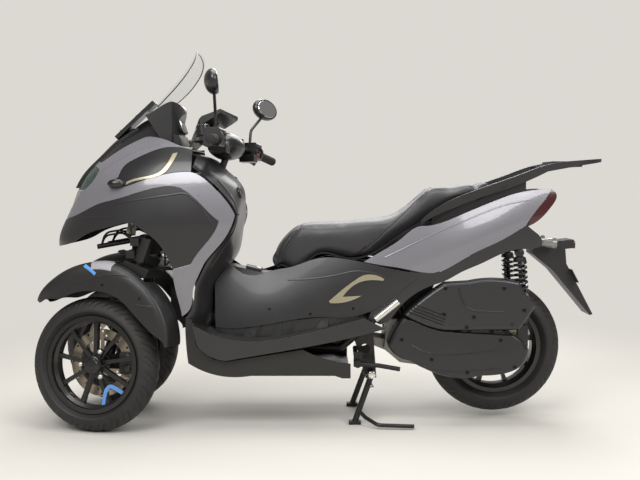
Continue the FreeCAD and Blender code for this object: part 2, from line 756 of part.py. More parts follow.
def screen_wire(x, z, half):
    """One level section of the screen: two like curves a wall apart."""
    thick = S.screen_thickness * 1.4
    shares = ((0.30, -1.0), (0.075, -0.5), (0.0, 0.0), (0.075, 0.5), (0.30, 1.0))
    front = [V(x + a * half, b * half, z) for a, b in shares]
    back = [V(p.x + thick, p.y, z) for p in reversed(front)]
    curves = []
    for points in (front, back):
        curve = Part.BSplineCurve()
        curve.interpolate(Points=points, Parameters=[0.0, 1.0, 2.0, 3.0, 4.0])
        curves.append(curve.toShape())
    side_a = Part.makeLine(front[-1], back[0])
    side_b = Part.makeLine(back[-1], front[0])
    return Part.Wire([curves[0], side_a, curves[1], side_b])


SHROUD = [
    [(-716, 1238), (-684, 1254), (-651, 1275), (-617, 1291)],
    [(-617, 1291), (-592, 1287), (-576, 1271), (-572, 1250)],
    [(-572, 1250), (-588, 1221), (-592, 1196), (-584, 1163), (-573, 1126), (-570, 1088)],
    [(-570, 1088), (-622, 1088)]]


def screen_mount():
    """Dark strip under the screen and the rounded dash shroud behind it."""
    strip = band([(-846, 1146), (-776, 1212), (-690, 1292)], 16, -S.brow_half_width, 0)
    strip = strip.cut(front_envelope(-S.brow_rise - S.running_gap))
    add("screen_mount", across(solids_of(strip)))
    plan = Part.makeCylinder(222, 400, V(-794, 0, 1000), V(0, 0, 1))
    low = box_at(-700, -500, -118, 118, 1080, 1160)
    shroud = side_prism(SHROUD, -126, 126)
    add("dash_shroud", solids_of(shroud.common(fused(plan, low))))


LEG = ((350, -566, -396, 231), (440, -545, -452, 236), (520, -518, -446, 244),
       (600, -497, -420, 252), (680, -452, -362, 256), (760, -386, -348, 258),
       (850, -352, -342, 258), (920, -396, -336, 254), (980, -462, -364, 246),
       (1040, -540, -424, 224), (1095, -580, -556, 190))


def leg_wire(z, edge_x, middle_x, half, shift=0.0, front=-640.0):
    """Plan curve of the leg shield's rider face, closed straight across its front."""
    reach = middle_x - edge_x
    right = [V(edge_x + shift, half, z), V(edge_x + shift + reach * 0.55, half * 0.80, z),
             V(edge_x + shift + reach * 0.92, half * 0.45, z), V(middle_x + shift, 0, z)]
    left = [V(p.x, -p.y, p.z) for p in reversed(right[:-1])]
    curve = Part.BSplineCurve()
    curve.interpolate(Points=right + left, Parameters=[0.0, 1.0, 2.0, 3.0, 4.0, 5.0, 6.0])
    a = V(front, -half, z)
    b = V(front, half, z)
    return Part.Wire([curve.toShape(), Part.makeLine(left[-1], a), Part.makeLine(a, b),
                      Part.makeLine(b, right[0])])


def leg_shield():
    """The rider's side of the front: a curved wall with sides, from the dash to the floor."""
    wall = S.wall
    outer = loft([leg_wire(z, e + 8, m, h) for z, e, m, h in LEG])
    inner = loft([leg_wire(z, e + 8, m, h - wall, -wall, -660.0) for z, e, m, h in LEG])
    body = slab(region(SHELL_ZONE), -400, -150)
    half = box_at(-700, -100, -400, 0, 340, 1084)
    head = V(S.column_x, 0, S.column_z)
    hole = Part.makeCylinder(S.column_radius + 16, 400, head - STEER_AXIS * 200, STEER_AXIS)
    ahead = box_at(-700, -549 + S.panel_gap, -400, 10, 300, 440)
    gap = S.panel_gap
    below = []
    for dx, dz in ((gap, 0), (-gap, 0), (0, gap), (0, -gap)):
        for runs, y0, y1 in ((BOARD, -266, -114), (BELLY, -240, 10)):
            tool = side_prism(runs, y0, y1)
            tool.translate(V(dx, 0, dz))
            below.append(tool)
    shape = outer.common(half).cut([inner, body, hole, ahead] + below)
    add("leg_shield", across(solids_of(shape, 2000.0)))


def leg_volume():
    """The room in front of the leg shield's rider face, with a panel gap behind it."""
    return loft([leg_wire(z, e + 8, m, h + 20, S.panel_gap) for z, e, m, h in LEG])


SHELL_ZONE = [
    [(-1130, 400), (-561, 430), (-515, 499), (-508, 557), (-484, 615), (-458, 665),
     (-419, 711), (-381, 757), (-354, 807), (-342, 846)],
    [(-342, 846), (-380, 910), (-438, 970), (-478, 1003), (-516, 1030)],
    [(-516, 1030), (-516, 1250), (-1130, 1250)]]


# Middle and rear body, as cross-sections along the vehicle


REAR = ((-450, 330, 720, (150, 146, 134, 112, 84)),
        (-330, 340, 700, (168, 160, 140, 112, 82)),
        (-180, 360, 700, (196, 188, 168, 138, 104)),
        (-20, 380, 760, (214, 208, 194, 170, 138)),
        (160, 400, 840, (218, 218, 212, 190, 156)),
        (340, 460, 900, (206, 216, 214, 194, 156)),
        (520, 540, 940, (180, 194, 196, 176, 142)),
        (720, 640, 980, (140, 156, 160, 146, 120)),
        (940, 700, 1010, (96, 112, 118, 110, 92)))


def rear_envelope(inset, cutter=False):
    """The left half of the middle and tail; a cutter runs past the middle plane."""
    middle = 20 if cutter else 0
    return loft([section_wire(station(x), z0, z1, [w - inset for w in halves], middle)
                 for x, z0, z1, halves in REAR])


SIDE = [
    [(-446, 640), (-404, 650), (-335, 606), (-276, 600), (-198, 622), (-139, 634), (-61, 662),
     (-2, 674), (60, 672), (135, 660), (389, 618)],
    [(389, 618), (328, 570), (231, 494), (182, 468), (134, 451), (56, 439)],
    [(56, 439), (-256, 404), (-392, 389), (-440, 392)]]
TAIL = [
    [(150, 660), (216, 699), (296, 750), (355, 794), (395, 800)],
    [(395, 800), (454, 812), (534, 843), (613, 875), (693, 906), (752, 926), (812, 938),
     (905, 945)],
    [(905, 945), (881, 909), (841, 860), (800, 802)],
    [(800, 802), (750, 771), (691, 739), (611, 704), (532, 664), (473, 632), (421, 616)],
    [(421, 616), (374, 620), (295, 636), (216, 648), (150, 660)]]
UNDER = [
    [(182, 476), (232, 505), (330, 576), (389, 622), (421, 616), (473, 632), (532, 664),
     (611, 704), (691, 739), (750, 771), (800, 802)],
    [(800, 802), (856, 760)],
    [(856, 760), (869, 722), (770, 704), (691, 684), (611, 648), (532, 616), (473, 585),
     (413, 565), (295, 486), (255, 434), (216, 395), (192, 383)],
    [(192, 383), (166, 430)]]
LEDGE = [(425, 805.5), (454, 811), (534, 842), (613, 874), (693, 905), (752, 925), (800, 935)]
UPSTAND = [(425, 832), (497, 868), (577, 900), (657, 928), (717, 948), (800, 980)]
LAMP_REAR = [
    [(905, 943), (926, 920), (901, 872), (853, 822), (806, 796)],
    [(806, 796), (841, 856), (881, 906)]]


def rear_panels():
    """Side covers, tail cowls, the dark band under them and the tail lamp."""
    outer = rear_envelope(0)
    inner = rear_envelope(S.wall, True)
    side = region(SIDE)
    tail = region(TAIL, side)
    under = region(UNDER, side, region(TAIL), region(BOARD))
    lamp = region(LAMP_REAR, region(TAIL), region(UNDER))
    cover = left_panel(outer, inner, side).cut(leg_volume())
    add("side_covers", both_sides(solids_of(cover)))
    add("tail_cowls", both_sides(solids_of(left_panel(outer, inner, tail))))
    add("under_tail", both_sides(solids_of(left_panel(outer, inner, under))))
    ledge = band(LEDGE, -3, -170, -S.ledge_y).common(rear_envelope(S.wall + 2 * S.running_gap))
    upright = side_prism([LEDGE, [LEDGE[-1], UPSTAND[-1]], UPSTAND[::-1]],
                         -S.ledge_y - 3, -S.ledge_y)
    add("tail_ledges", both_sides(solids_of(fused(ledge, upright))))
    add("tail_lamp", across(solids_of(left_panel(outer, None, lamp))))


TUNNEL = ((-438, 372, 640, (110, 106, 96, 78, 50)),
          (-340, 362, 622, (112, 106, 96, 80, 52)),
          (-260, 362, 604, (116, 110, 98, 82, 54)),
          (-190, 380, 606, (120, 112, 100, 84, 56)))


BOARD = [[(-445, 382), (-389, 364), (-130, 374), (55, 418), (150, 444)],
         [(150, 444), (232, 404)],
         [(232, 404), (93, 367), (-99, 328), (-388, 278)],
         [(-388, 278), (-438, 290), (-500, 338)],
         [(-500, 338), (-520, 420)]]


BELLY = [[(-548, 440), (-546, 342), (-538, 264)],
         [(-538, 264), (-455, 224), (-293, 214)],
         [(-293, 214), (36, 214)], [(36, 214), (66, 204)], [(66, 204), (98, 204)],
         [(98, 204), (98, 262)], [(98, 262), (-22, 288), (-90, 318)],
         [(-90, 318), (-388, 270)], [(-388, 270), (-440, 280)],
         [(-440, 280), (-506, 332)], [(-506, 332), (-524, 440)]]
BELLY_INSIDE = [[(-560, 450), (-541, 342), (-533, 268)],
                [(-533, 268), (-453, 228), (-293, 218)],
                [(-293, 218), (38, 218)], [(38, 218), (68, 208)], [(68, 208), (110, 208)],
                [(110, 208), (110, 340)], [(110, 340), (-90, 360)], [(-90, 360), (-520, 460)]]
RISER = [[(-440, 382.3), (-389, 364.3), (-130, 374.3), (55, 418.3), (128, 437.5)],
         [(128, 437.5), (128, 458)],
         [(128, 458), (56, 448), (-256, 413), (-392, 398), (-440, 401)]]


def floor_panels():
    """Floorboards, the tunnel between them and the belly under both."""
    outer = side_prism(BOARD, -262, -118)
    inside = [[(-520, 420), (-440, 378), (-389, 358), (-130, 368), (55, 411), (190, 434)],
              [(190, 434), (240, 380), (93, 340), (-99, 300), (-388, 250), (-520, 250)]]
    hollow = side_prism(inside, -258, -100)
    riser = left_panel(rear_envelope(S.wall + 2), rear_envelope(S.wall + 5, True), region(RISER))
    board = solids_of(outer.cut(hollow))
    riser = solids_of(riser.cut(outer))
    riser.translate(V(0, 0, S.running_gap))
    add("floorboards", both_sides(Part.makeCompound([board, riser])))
    belly = side_prism(BELLY, -236, 236)
    add("belly_cover", solids_of(belly.cut(side_prism(BELLY_INSIDE, -232, 232))))
    outer = loft([section_wire(station(x), a, b, h, 0) for x, a, b, h in TUNNEL])
    inner = loft([section_wire(station(x), a - 5, b - S.wall, [w - S.wall for w in h], 20)
                  for x, a, b, h in TUNNEL])
    add("tunnel_cover", across(solids_of(outer.cut([inner, leg_volume()]))))


# Seat, bin, carrier and plate bracket


SEAT = ((-221, 640, 662, 60), (-196, 622, 700, 88), (-146, 622, 772, 112), (-81, 642, 800, 134),
        (19, 682, 806, 152), (117, 664, 812, 162), (216, 700, 822, 164), (300, 758, 846, 148),
        (340, 782, 874, 136), (380, 810, 909, 124), (408, 828, 935, 119), (430, 840, 946, 117),
        (465, 862, 949, 116), (530, 896, 951, 113), (600, 924, 956, 109), (681, 955, 966, 92))


def seat_section(x, low, high, half):
    """A crowned seat section with rounded shoulders."""
    rise = high - low
    shoulder = min(rise * 0.45, 34)
    right = [V(x, half * 0.86, low), V(x, half, low + rise * 0.35),
             V(x, half * 0.94, high - shoulder * 0.5), V(x, half * 0.62, high - shoulder * 0.10),
             V(x, 0, high)]
    left = [V(x, -p.y, p.z) for p in reversed(right[:-1])]
    curve = Part.BSplineCurve()
    knots = [float(i) for i in range(9)]
    curve.interpolate(Points=right + left, Parameters=knots)
    return Part.Wire([curve.toShape(), Part.makeLine(left[-1], right[0])])


def seat():
    """The one-piece seat with its step, over a thin moulded base."""
    wires = [seat_section(station(x), low + 8, high, half) for x, low, high, half in SEAT]
    base = [seat_base_wire(station(x), low, half * 0.84) for x, low, _, half in SEAT[1:-3]]
    lowered = loft(wires)
    add("seat_cushion", lowered.copy())
    lowered.translate(V(0, 0, -0.5))
    add("seat_base", solids_of(loft(base).cut(lowered)))


def seat_base_wire(x, low, half):
    """A flat section of the seat's moulded base."""
    top = low + 7.5
    points = [V(x, -half, low + 1), V(x, half, low + 1), V(x, half, top), V(x, -half, top)]
    return Part.makePolygon(points + points[:1])


def storage_bin():
    """An open box under the seat, deep at the front."""
    runs = [[(-150, 606), (-120, 470)], [(-120, 470), (170, 470)], [(170, 470), (250, 560)],
            [(250, 560), (330, 600)], [(330, 600), (330, 640)], [(330, 640), (130, 640)],
            [(130, 640), (10, 660)], [(10, 660), (-70, 640)]]
    outer = side_prism(runs, -128, 128)
    inside = [[(-160, 700), (-146, 604), (-116, 474)], [(-116, 474), (168, 474)],
              [(168, 474), (248, 564)], [(248, 564), (326, 604)], [(326, 604), (326, 700)]]
    return add("storage_bin", solids_of(outer.cut(side_prism(inside, -124, 124))))


RAIL = [[(372, 792), (417, 828), (497, 864), (577, 896), (657, 924), (717, 944), (800, 976),
         (880, 1014)],
        [(880, 1014), (1000, 1036)], [(1000, 1036), (1135, 1056)], [(1135, 1056), (1135, 1068)],
        [(1135, 1068), (976, 1056)],
        [(976, 1056), (904, 1046), (850, 1032), (776, 1004), (697, 976), (600, 942),
         (500, 902), (430, 862), (380, 820)]]
RAIL_PLAN = ((960, 150), (1050, 132), (1104, 88), (1130, 0))


def rail_plan(inset):
    """The rails' plan outline: straight sides that curve together at the rear."""
    left = [V(station(x) - inset * (y < 140), -max(y - inset, 0), 700) for x, y in RAIL_PLAN]
    curve = edge(left + [V(p.x, -p.y, 700) for p in reversed(left[:-1])])
    front = station(300)
    ends = [V(front, -left[0].y, 700), V(front, left[0].y, 700)]
    lines = [Part.makeLine(V(left[0].x, -left[0].y, 700), ends[0]),
             Part.makeLine(ends[0], ends[1]), Part.makeLine(ends[1], left[0])]
    return Part.Face(Part.Wire([curve] + lines)).extrude(V(0, 0, 500))


def carrier():
    """Grab rails along the pillion seat that run together into a rear carrier plate."""
    loop = side_prism(RAIL, -160, 160).common(rail_plan(0).cut(rail_plan(22)))
    plate = side_prism([[(885, 1024), (1060, 1048)], [(1060, 1048), (1060, 1056)],
                        [(1060, 1056), (885, 1040)]], -135, 135).common(rail_plan(2))
    top = box_at(station(915), station(1035), -85, 85, 1034, 1056)
    shape = plate.fuse([loop, top])
    holes = []
    for dx in (-0.5, 0.5):
        for dy in (-0.5, 0.5):
            x = station(975) + dx * S.carrier_pitch_x
            y = dy * S.carrier_pitch_y
            holes.append(Part.makeCylinder(S.carrier_hole, 80, V(x, y, 1000), V(0, 0, 1)))
    add("grab_rail", solids_of(shape.cut(holes)))


PLATE_TOP = (985, 640)
PLATE_TIP = (1096, 432)


def plate_frame():
    """The top, downward direction and outward normal of the number-plate face."""
    top = V(station(PLATE_TOP[0]), 0, PLATE_TOP[1])
    tip = V(station(PLATE_TIP[0]), 0, PLATE_TIP[1])
    down = (tip - top).normalize()
    return top, down, V(-down.z, 0, down.x)


def plate_bracket():
    """The long sloping bracket with a flat wing for the number plate and two holes in it."""
    top, down, normal = plate_frame()
    arm = side_prism([[(846, 700), (880, 726)], [(880, 726), (1014, 738)],
                      [(1014, 738), (1016, 704)], [(1016, 704), (980, 700)],
                      [(980, 700), PLATE_TOP], [PLATE_TOP, PLATE_TIP],
                      [PLATE_TIP, (1084, 428)], [(1084, 428), (930, 612)],
                      [(930, 612), (846, 680)]], -58, 58)
    wing = Part.makeBox(5, S.plate_hole_pitch + 40, 60)
    corner = top + down * 85 - normal - V(0, S.plate_hole_pitch / 2 + 20, 0)
    wing.Placement = FreeCAD.Placement(corner, FreeCAD.Rotation(normal, V(0, 1, 0), -down, "XYZ"))
    holes = []
    for side in (-0.5, 0.5):
        start = top + down * 55 - normal * 10 + V(0, side * S.plate_hole_pitch, 0)
        holes.append(Part.makeCylinder(S.plate_hole, 30, start, normal))
    add("plate_bracket", solids_of(arm.fuse(wing).cut(holes)))


def rear_signals():
    """Two stalked rear signals on the bracket."""
    shapes = []
    for side in (-1, 1):
        y = side * 98
        stalk = cylinder_between((station(892), side * 58.3, 726), (station(892), y, 726), 8)
        pod = Part.makeCone(11, 21, 50, V(station(866), y, 728), V(1, 0, -0.04))
        lens = Part.makeCylinder(21, 14, V(station(914), y, 726.08), V(1, 0, -0.04))
        shapes.append(fused(stalk, pod, lens))
    add("rear_signals", Part.makeCompound(shapes))


# Frame, engine, exhaust, springs


def main_frame():
    """Head tube, spine, floor rails and seat rails of steel tube."""
    r = S.frame_tube
    head = V(S.column_x, 0, S.column_z)
    low = head - STEER_AXIS * 420
    tube = Part.makeCylinder(30, 190, low, STEER_AXIS)
    bore = Part.makeCylinder(S.column_radius + 1, 240, low - STEER_AXIS * 20, STEER_AXIS)
    carrier_x = along_axis(1, 692).x + 40 + S.running_gap
    pieces = [tube, box_at(carrier_x, -540, -22, 22, 690, 770)]
    for side in (-1, 1):
        pieces.append(rod([(-566, 0, 760), (-520, side * 60, 640), (-500, side * 92, 420),
                           (-440, side * 92, 300), (station(60), side * 92, 300),
                           (station(200), side * 92, 420), (station(330), side * 92, 560)], r))
        pieces.append(rod([(station(330), side * 92, 560), (station(560), side * 84, 690),
                           (station(780), side * 70, 770)], S.rail_tube))
    cross = cylinder_between((station(40), -92, 300), (station(40), 92, 300), r - 2)
    rear = cylinder_between((station(760), -72, 762), (station(760), 72, 762), S.rail_tube - 2)
    top = cylinder_between((station(S.shock_top_x), -S.shock_side, S.shock_top_z + 10.3),
                           (station(S.shock_top_x), S.shock_side, S.shock_top_z + 10.3), 10)
    riser = box_at(station(752), station(790), -66, 66, S.shock_top_z + 2, 760)
    link = cylinder_between((station(150), -92, 330), (station(150), 92, 330), 12)
    shape = fused(*pieces, cross, rear, top, riser, link, side_stand_bracket(), *stand_hangers())
    pivot = V(station(S.stand_pivot_x), -200, S.stand_pivot_z)
    stand_bore = Part.makeCylinder(S.stand_pivot_radius + S.running_gap, 400, pivot, V(0, 1, 0))
    add("main_frame", solids_of(shape.cut([bore, stand_bore])))


def stand_hangers():
    """Two plates below the floor rails with bores for the centre stand's cross tube."""
    x, z = station(S.stand_pivot_x), S.stand_pivot_z
    outline = [[(x - 22, z - 22), (x + 22, z - 22)], [(x + 22, z - 22), (x + 6, z + 190)],
               [(x + 6, z + 190), (x - 70, z + 140)]]
    plates = []
    for side in (-1, 1):
        hole = cylinder_between((x - 24, side * 92 - 20, z + 96), (x - 24, side * 92 + 20, z + 96), 21)
        plates.append(side_slab(outline, side * 92 - 4, side * 92 + 4).cut(hole))
    return plates


def side_stand_bracket():
    """An arm from the left floor rail that ends in a plate and a pivot pin."""
    x, y, z = station(S.side_stand_x), S.side_stand_y, S.side_stand_z
    face = y + S.side_stand_tube + S.running_gap
    plate = box_at(x - 16, x + 20, face, face + 5, z - 14, z + 46)
    arm = cylinder_between((x - 8, -92, 300), (x - 8, face + 2, z + 36), 9)
    pin = cylinder_between((x, face + 2, z), (x, y - S.side_stand_tube - 3, z), S.side_stand_pin)
    return fused(plate, arm, pin)


CVT = [[(304, 440), (261, 372), (245, 333)], [(245, 333), (272, 294), (331, 266)],
       [(331, 266), (390, 236), (449, 212), (528, 196), (606, 206)],
       [(606, 206), (685, 211), (744, 227), (783, 254), (802, 313)],
       [(802, 313), (783, 340), (744, 370)], [(744, 370), (508, 384)]]
AIR = [[(469, 576), (351, 490), (308, 450)], [(308, 450), (331, 436), (469, 388)],
       [(469, 388), (508, 388), (763, 391)], [(763, 391), (787, 423), (826, 486)],
       [(826, 486), (783, 541), (763, 580)], [(763, 580), (685, 592), (567, 582)],
       [(567, 582), (469, 576)]]


CROWN = ((1.0, 12), (0.975, 4), (0.94, 0))


def slab(face, y0, y1):
    """A side-view region as a slab from y0 to y1."""
    tool = face.copy()
    tool.translate(V(0, y0, 0))
    return tool.extrude(V(0, y1 - y0, 0))


def rounded_slab(face, y0, y1, radius):
    """A slab whose outer rim, at y0, is rounded over."""
    shape = slab(face, y0, y1)
    rim = [e for e in shape.Edges if abs(e.BoundBox.YMin - y0) < 0.01 > abs(e.BoundBox.YMax - y0)]
    return shape.makeFillet(radius, rim)


def crowned_slab(face, y0, y1):
    """A slab that draws in towards its outer side, at y0, through smaller copies of its outline."""
    centre = face.CenterOfMass
    wires = []
    for share, lift in CROWN:
        matrix = FreeCAD.Matrix()
        matrix.move(V(-centre.x, 0, -centre.z))
        matrix.scale(share, 1, share)
        matrix.move(V(centre.x, y0 + lift, centre.z))
        wires.append(face.OuterWire.transformGeometry(matrix))
    return slab(face, y0 + CROWN[0][1], y1).fuse(loft(wires, ruled=True))


def louvres(air_y):
    """Slanted grooves along the lower front edge of the air cleaner."""
    start = V(station(318), air_y, 454)
    way = V(161, 0, -60).normalize()
    up = V(-way.z, 0, way.x)
    tools = []
    for i in range(int(S.louvre_count)):
        corner = start + up * (8 + 12 * i)
        bar = Part.makeBox(150, 14, 5, V(0, -7, 0))
        bar.Placement = FreeCAD.Placement(corner, FreeCAD.Rotation(way, V(0, 1, 0), up, "XYZ"))
        tools.append(bar)
    return tools


def engine():
    """The power unit block, drive cover, air cleaner and right-hand swing arm."""
    block = side_prism([[(236, 300), (300, 246)], [(300, 246), (400, 232)],
                        [(400, 232), (400, 420)], [(400, 420), (250, 420)]],
                       -S.drive_side + S.running_gap, 92)
    lugs = [side_prism([[(260, 330), (260, 280)], [(260, 280), (166, 318)],
                        [(166, 318), (162.3 + S.running_gap, 330)],
                        [(162.3 + S.running_gap, 330), (166, 342)], [(166, 342), (262, 330)]],
                       side * 60 - 9, side * 60 + 9) for side in (-1, 1)]
    add("engine_block", solids_of(fused(block, *lugs)))
    air = region(AIR)
    cover = crowned_slab(region(CVT, air).Faces[0], -210, -S.drive_side)
    foot = station(S.shock_foot_x)
    lug = box_at(foot - 30, foot + 12, -146, -S.drive_side, 300, S.shock_foot_z - S.shock_seat)
    add("cvt_cover", solids_of(fused(cover, lug)))
    cleaner = rounded_slab(air, -215, -150, S.cover_round)
    add("air_cleaner", solids_of(cleaner.cut(louvres(-215))))
    arm_y = S.arm_side
    arm = rod([(330, arm_y, 300), (520, arm_y, 300), (REAR_X, arm_y, REAR_Z),
               (REAR_X + 80, arm_y, REAR_Z + 50)], 20)
    out = S.muffler_side
    lug = box_at(548, 576, arm_y, out - S.muffler_radius - S.running_gap, 290, 344)
    post = cylinder_between((foot - 14, S.shock_side, REAR_Z + 26),
                            (foot - 6, S.shock_side, S.shock_foot_z - S.shock_seat - 1.5), 15)
    add("swing_arm", fused(arm, lug, post))
    exhaust(out)
    axle = cylinder_between((REAR_X, S.running_gap - S.drive_side, REAR_Z),
                            (REAR_X, arm_y - 20.3, REAR_Z), S.axle_radius)
    add("rear_axle", axle)
    disc_y = S.disc_side + 2
    block = box_at(REAR_X - 140, REAR_X - 82, disc_y - 20, disc_y + 20, REAR_Z - 5, REAR_Z + 58)
    slot = box_at(REAR_X - 134, REAR_X - 81, disc_y - 4, disc_y + 4, REAR_Z - 6, REAR_Z + 59)
    add("rear_caliper", block.cut(slot))


def exhaust(out):
    """Header, can with rounded ends, tail pipe and a heat shield on the outer side."""
    front = V(440, out, 320)
    way = (V(850, out, 360) - front).normalize()
    length = 410.0
    can = Part.makeCylinder(S.muffler_radius, length, front, way)
    can = can.makeFillet(20, [e for e in can.Edges if len(e.Vertexes) == 1])
    pipe = Part.makeCylinder(19, 60, front + way * (length - 20), way)
    shield = Part.makeCylinder(S.muffler_radius + 5, 300, front + way * 50, way)
    shield = shield.cut(Part.makeCylinder(S.muffler_radius - 2, 302, front + way * 49, way))
    shield = shield.common(box_at(400, 900, out + 12, out + 80, 200, 480))
    header = rod([(350, 92 + S.running_gap, 254), (350, out - 30, 254), (456, out, 320)], 17)
    add("muffler", fused(can, pipe, shield, header))


def shocks():
    """Two spring units: a damper, two seats and the turns of the spring as rings."""
    shapes = []
    for side in (-1, 1):
        top = V(station(S.shock_top_x), side * S.shock_side, S.shock_top_z)
        foot = V(station(S.shock_foot_x), side * S.shock_side, S.shock_foot_z)
        down = (foot - top).normalize()
        length = (foot - top).Length
        body = Part.makeCylinder(S.spring_radius - 4, length, top, down)
        seats = [Part.makeCylinder(S.spring_radius + 4, 12, top + down * 26, down),
                 Part.makeCylinder(S.spring_radius + 4, 12, top + down * (length - 40), down)]
        first = 44.0
        pitch = (length - 40 - first) / S.spring_turns
        reach = S.spring_radius + S.spring_wire
        turns = [Part.makeCylinder(reach, S.spring_wire * 1.6, top + down * (first + i * pitch), down)
                 for i in range(int(S.spring_turns))]
        shapes.append(fused(body, *seats, *turns))
    add("rear_shocks", Part.makeCompound(shapes))


def pegs():
    """Folded passenger footpegs in the slots of the side covers."""
    shapes = []
    for side in (-1, 1):
        shapes.append(rod([(station(196), side * 232, 436), (station(284), side * 238, 508)], 13))
    add("passenger_pegs", Part.makeCompound(shapes))


def centre_stand():
    """A wide two-legged stand on a cross tube, with feet and a foot tang outside the left leg."""
    x, z = station(S.stand_pivot_x), S.stand_pivot_z
    half = S.stand_half_width
    pivot = cylinder_between((x, -half, z), (x, half, z), S.stand_pivot_radius)
    legs = []
    for side in (-1, 1):
        legs.append(cylinder_between((x, side * (half - 14), z), (x - 68, side * half, 9), 12))
        legs.append(box_at(x - 92, x - 44, side * half - 15, side * half + 15, 0, 14))
    tang = rod([(x - 52, 4 - half, 54), (x - 26, -half - 30, 34), (x + 20, -half - 86, 18),
                (x + 162, -half - 90, 14)], 8, 30)
    add("centre_stand", fused(pivot, *legs, tang))


def side_stand():
    """The folded side stand under the left floorboard, with an eye round its pin."""
    x, y, z = station(S.side_stand_x), S.side_stand_y, S.side_stand_z
    tube = S.side_stand_tube
    reach = S.side_stand_length
    leg = rod([(x, y, z), (x + reach * 0.5, y - 4, z - 6), (x + reach, y - 8, z - 20)], tube)
    eye = cylinder_between((x, y - tube, z), (x, y + tube, z), 15)
    bore = cylinder_between((x, y - 40, z), (x, y + 40, z), S.side_stand_pin + S.running_gap)
    add("side_stand", solids_of(fused(leg, eye).cut(bore)))


def bar_rod(radius):
    """The handlebar's own bent bar, at a radius."""
    half = S.bar_half_width
    return rod([(-330, -half, 1098), (-372, -210, 1122), (-392, -110, 1128), (-392, 110, 1128),
                (-372, 210, 1122), (-330, half, 1098)], radius)


def egg(inset):
    """The mirror's flattened egg, drawn round its own middle."""
    grow = FreeCAD.Matrix()
    grow.scale(34.0 - inset, 74.0 - inset, 48.0 - inset)
    return Part.makeSphere(1.0).transformGeometry(grow)


def mirror_head(place):
    """The egg with its rear cut flat, where the glass lies."""
    head = egg(0).common(box_at(-60, 14, -100, 100, -60, 60))
    head.Placement = place
    return head


def mirror_glass(place):
    """A thin flat glass just behind the head's flat rear."""
    glass = egg(4).common(box_at(14 + S.running_gap, 16, -90, 90, -60, 60))
    glass.Placement = place
    return glass


def handlebar():
    """Bar, stem, grips and mirrors, turned with the front wheels."""
    head = V(S.column_x, 0, S.column_z)
    stem = Part.makeCylinder(S.column_radius, 470, head - STEER_AXIS * 440, STEER_AXIS)
    half = S.bar_half_width
    bar = bar_rod(S.bar_tube)
    turn = column_turn()
    add("handlebar", fused(stem, bar), turn)
    grips = []
    for side in (-1, 1):
        a = V(-330, side * half, 1098)
        b = V(-372, side * 210, 1122)
        d = (b - a).normalize()
        outer = Part.makeCylinder(S.grip_radius, S.grip_length, a - d * 6, d)
        inner = Part.makeCylinder(S.bar_tube + 0.2, S.grip_length + 40, a - d * 2, d)
        grips.append(outer.cut(inner))
    add("grips", Part.makeCompound(grips), turn)
    mirrors = []
    glasses = []
    for side in (-1, 1):
        stem_m = rod([(-378, side * 212, S.control_top + 0.8),
                      (-376, side * 216, 1215), (-352, side * 296, 1285)], 6)
        toe = FreeCAD.Rotation(-side * S.mirror_toe_deg, -S.mirror_tilt_deg, 0)
        place = FreeCAD.Placement(V(-347, side * 322, 1322), toe)
        mirrors.append(fused(stem_m, mirror_head(place)))
        glasses.append(mirror_glass(place))
    add("mirrors", Part.makeCompound(mirrors), turn)
    add("mirror_glass", Part.makeCompound(glasses), turn)


def gold_trims():
    """Bright trims: a hooked blade on each side cover and a strip under each cowl blade."""
    side = rear_envelope(-3).cut(rear_envelope(-S.running_gap, True))
    hook = side.common(region(HOOK).extrude(V(0, -400, 0)))
    front = front_envelope(-2.5).cut(front_envelope(-S.running_gap, True))
    strip = front.common(region(STRIP).extrude(V(0, -400, 0)))
    pieces = [s for s in hook.Solids + strip.Solids if s.Volume > 200]
    add("gold_trims", both_sides(Part.makeCompound(pieces)))


HOOK = [[(13, 506), (74, 558), (120, 592), (144, 606), (190, 610), (229, 594)],
        [(229, 594), (225, 587)],
        [(225, 587), (171, 589), (140, 583), (74, 533), (67, 523)],
        [(67, 523), (140, 528)], [(140, 528), (94, 507), (17, 498)]]
STRIP = [[(-777, 972), (-699, 994), (-641, 1014), (-618, 1040), (-597, 1084)],
         [(-597, 1084), (-577, 1088)],
         [(-577, 1088), (-598, 1042), (-626, 1008), (-699, 985), (-777, 962)]]


def fuel_lid():
    """A lid on top of the tunnel with a rounded outline, hinged at its front edge."""
    lid = side_prism([[(-326, 622), (-262, 607)], [(-262, 607), (-262, 615)],
                      [(-262, 615), (-326, 630)]], -42, 42)
    add("fuel_lid", lid)


def controls():
    """Switch boxes, master cylinders and levers on each side of the bar."""
    shapes = []
    for side in (-1, 1):
        y0, y1 = sorted((side * 192, side * 262))
        box = box_at(-408, -340, y0, y1, 1086, S.control_top)
        box = box.makeFillet(9, [e for e in box.Edges if abs(e.BoundBox.YLength) > 50])
        jar = Part.makeCylinder(25, 36, V(-428, side * 206, 1136), V(-0.1, 0, 1))
        perch = box_at(-440, -400, min(side * 192, side * 222), max(side * 192, side * 222),
                       1100, 1140)
        lever = rod([(-420, side * 215, 1112), (-448, side * 256, 1106),
                     (-412, side * 372, 1088)], 6, 25)
        knob = Part.makeSphere(9, V(-412, side * 372, 1088))
        pod_y = sorted((side * 150, side * 196))
        pod = box_at(-404, -338, pod_y[0], pod_y[1], 1072, 1104)
        shape = fused(box, jar, perch, lever, knob, pod)
        shapes.append(shape.cut(bar_rod(S.bar_tube + S.running_gap)))
    add("controls", Part.makeCompound([solids_of(s) for s in shapes]), column_turn())


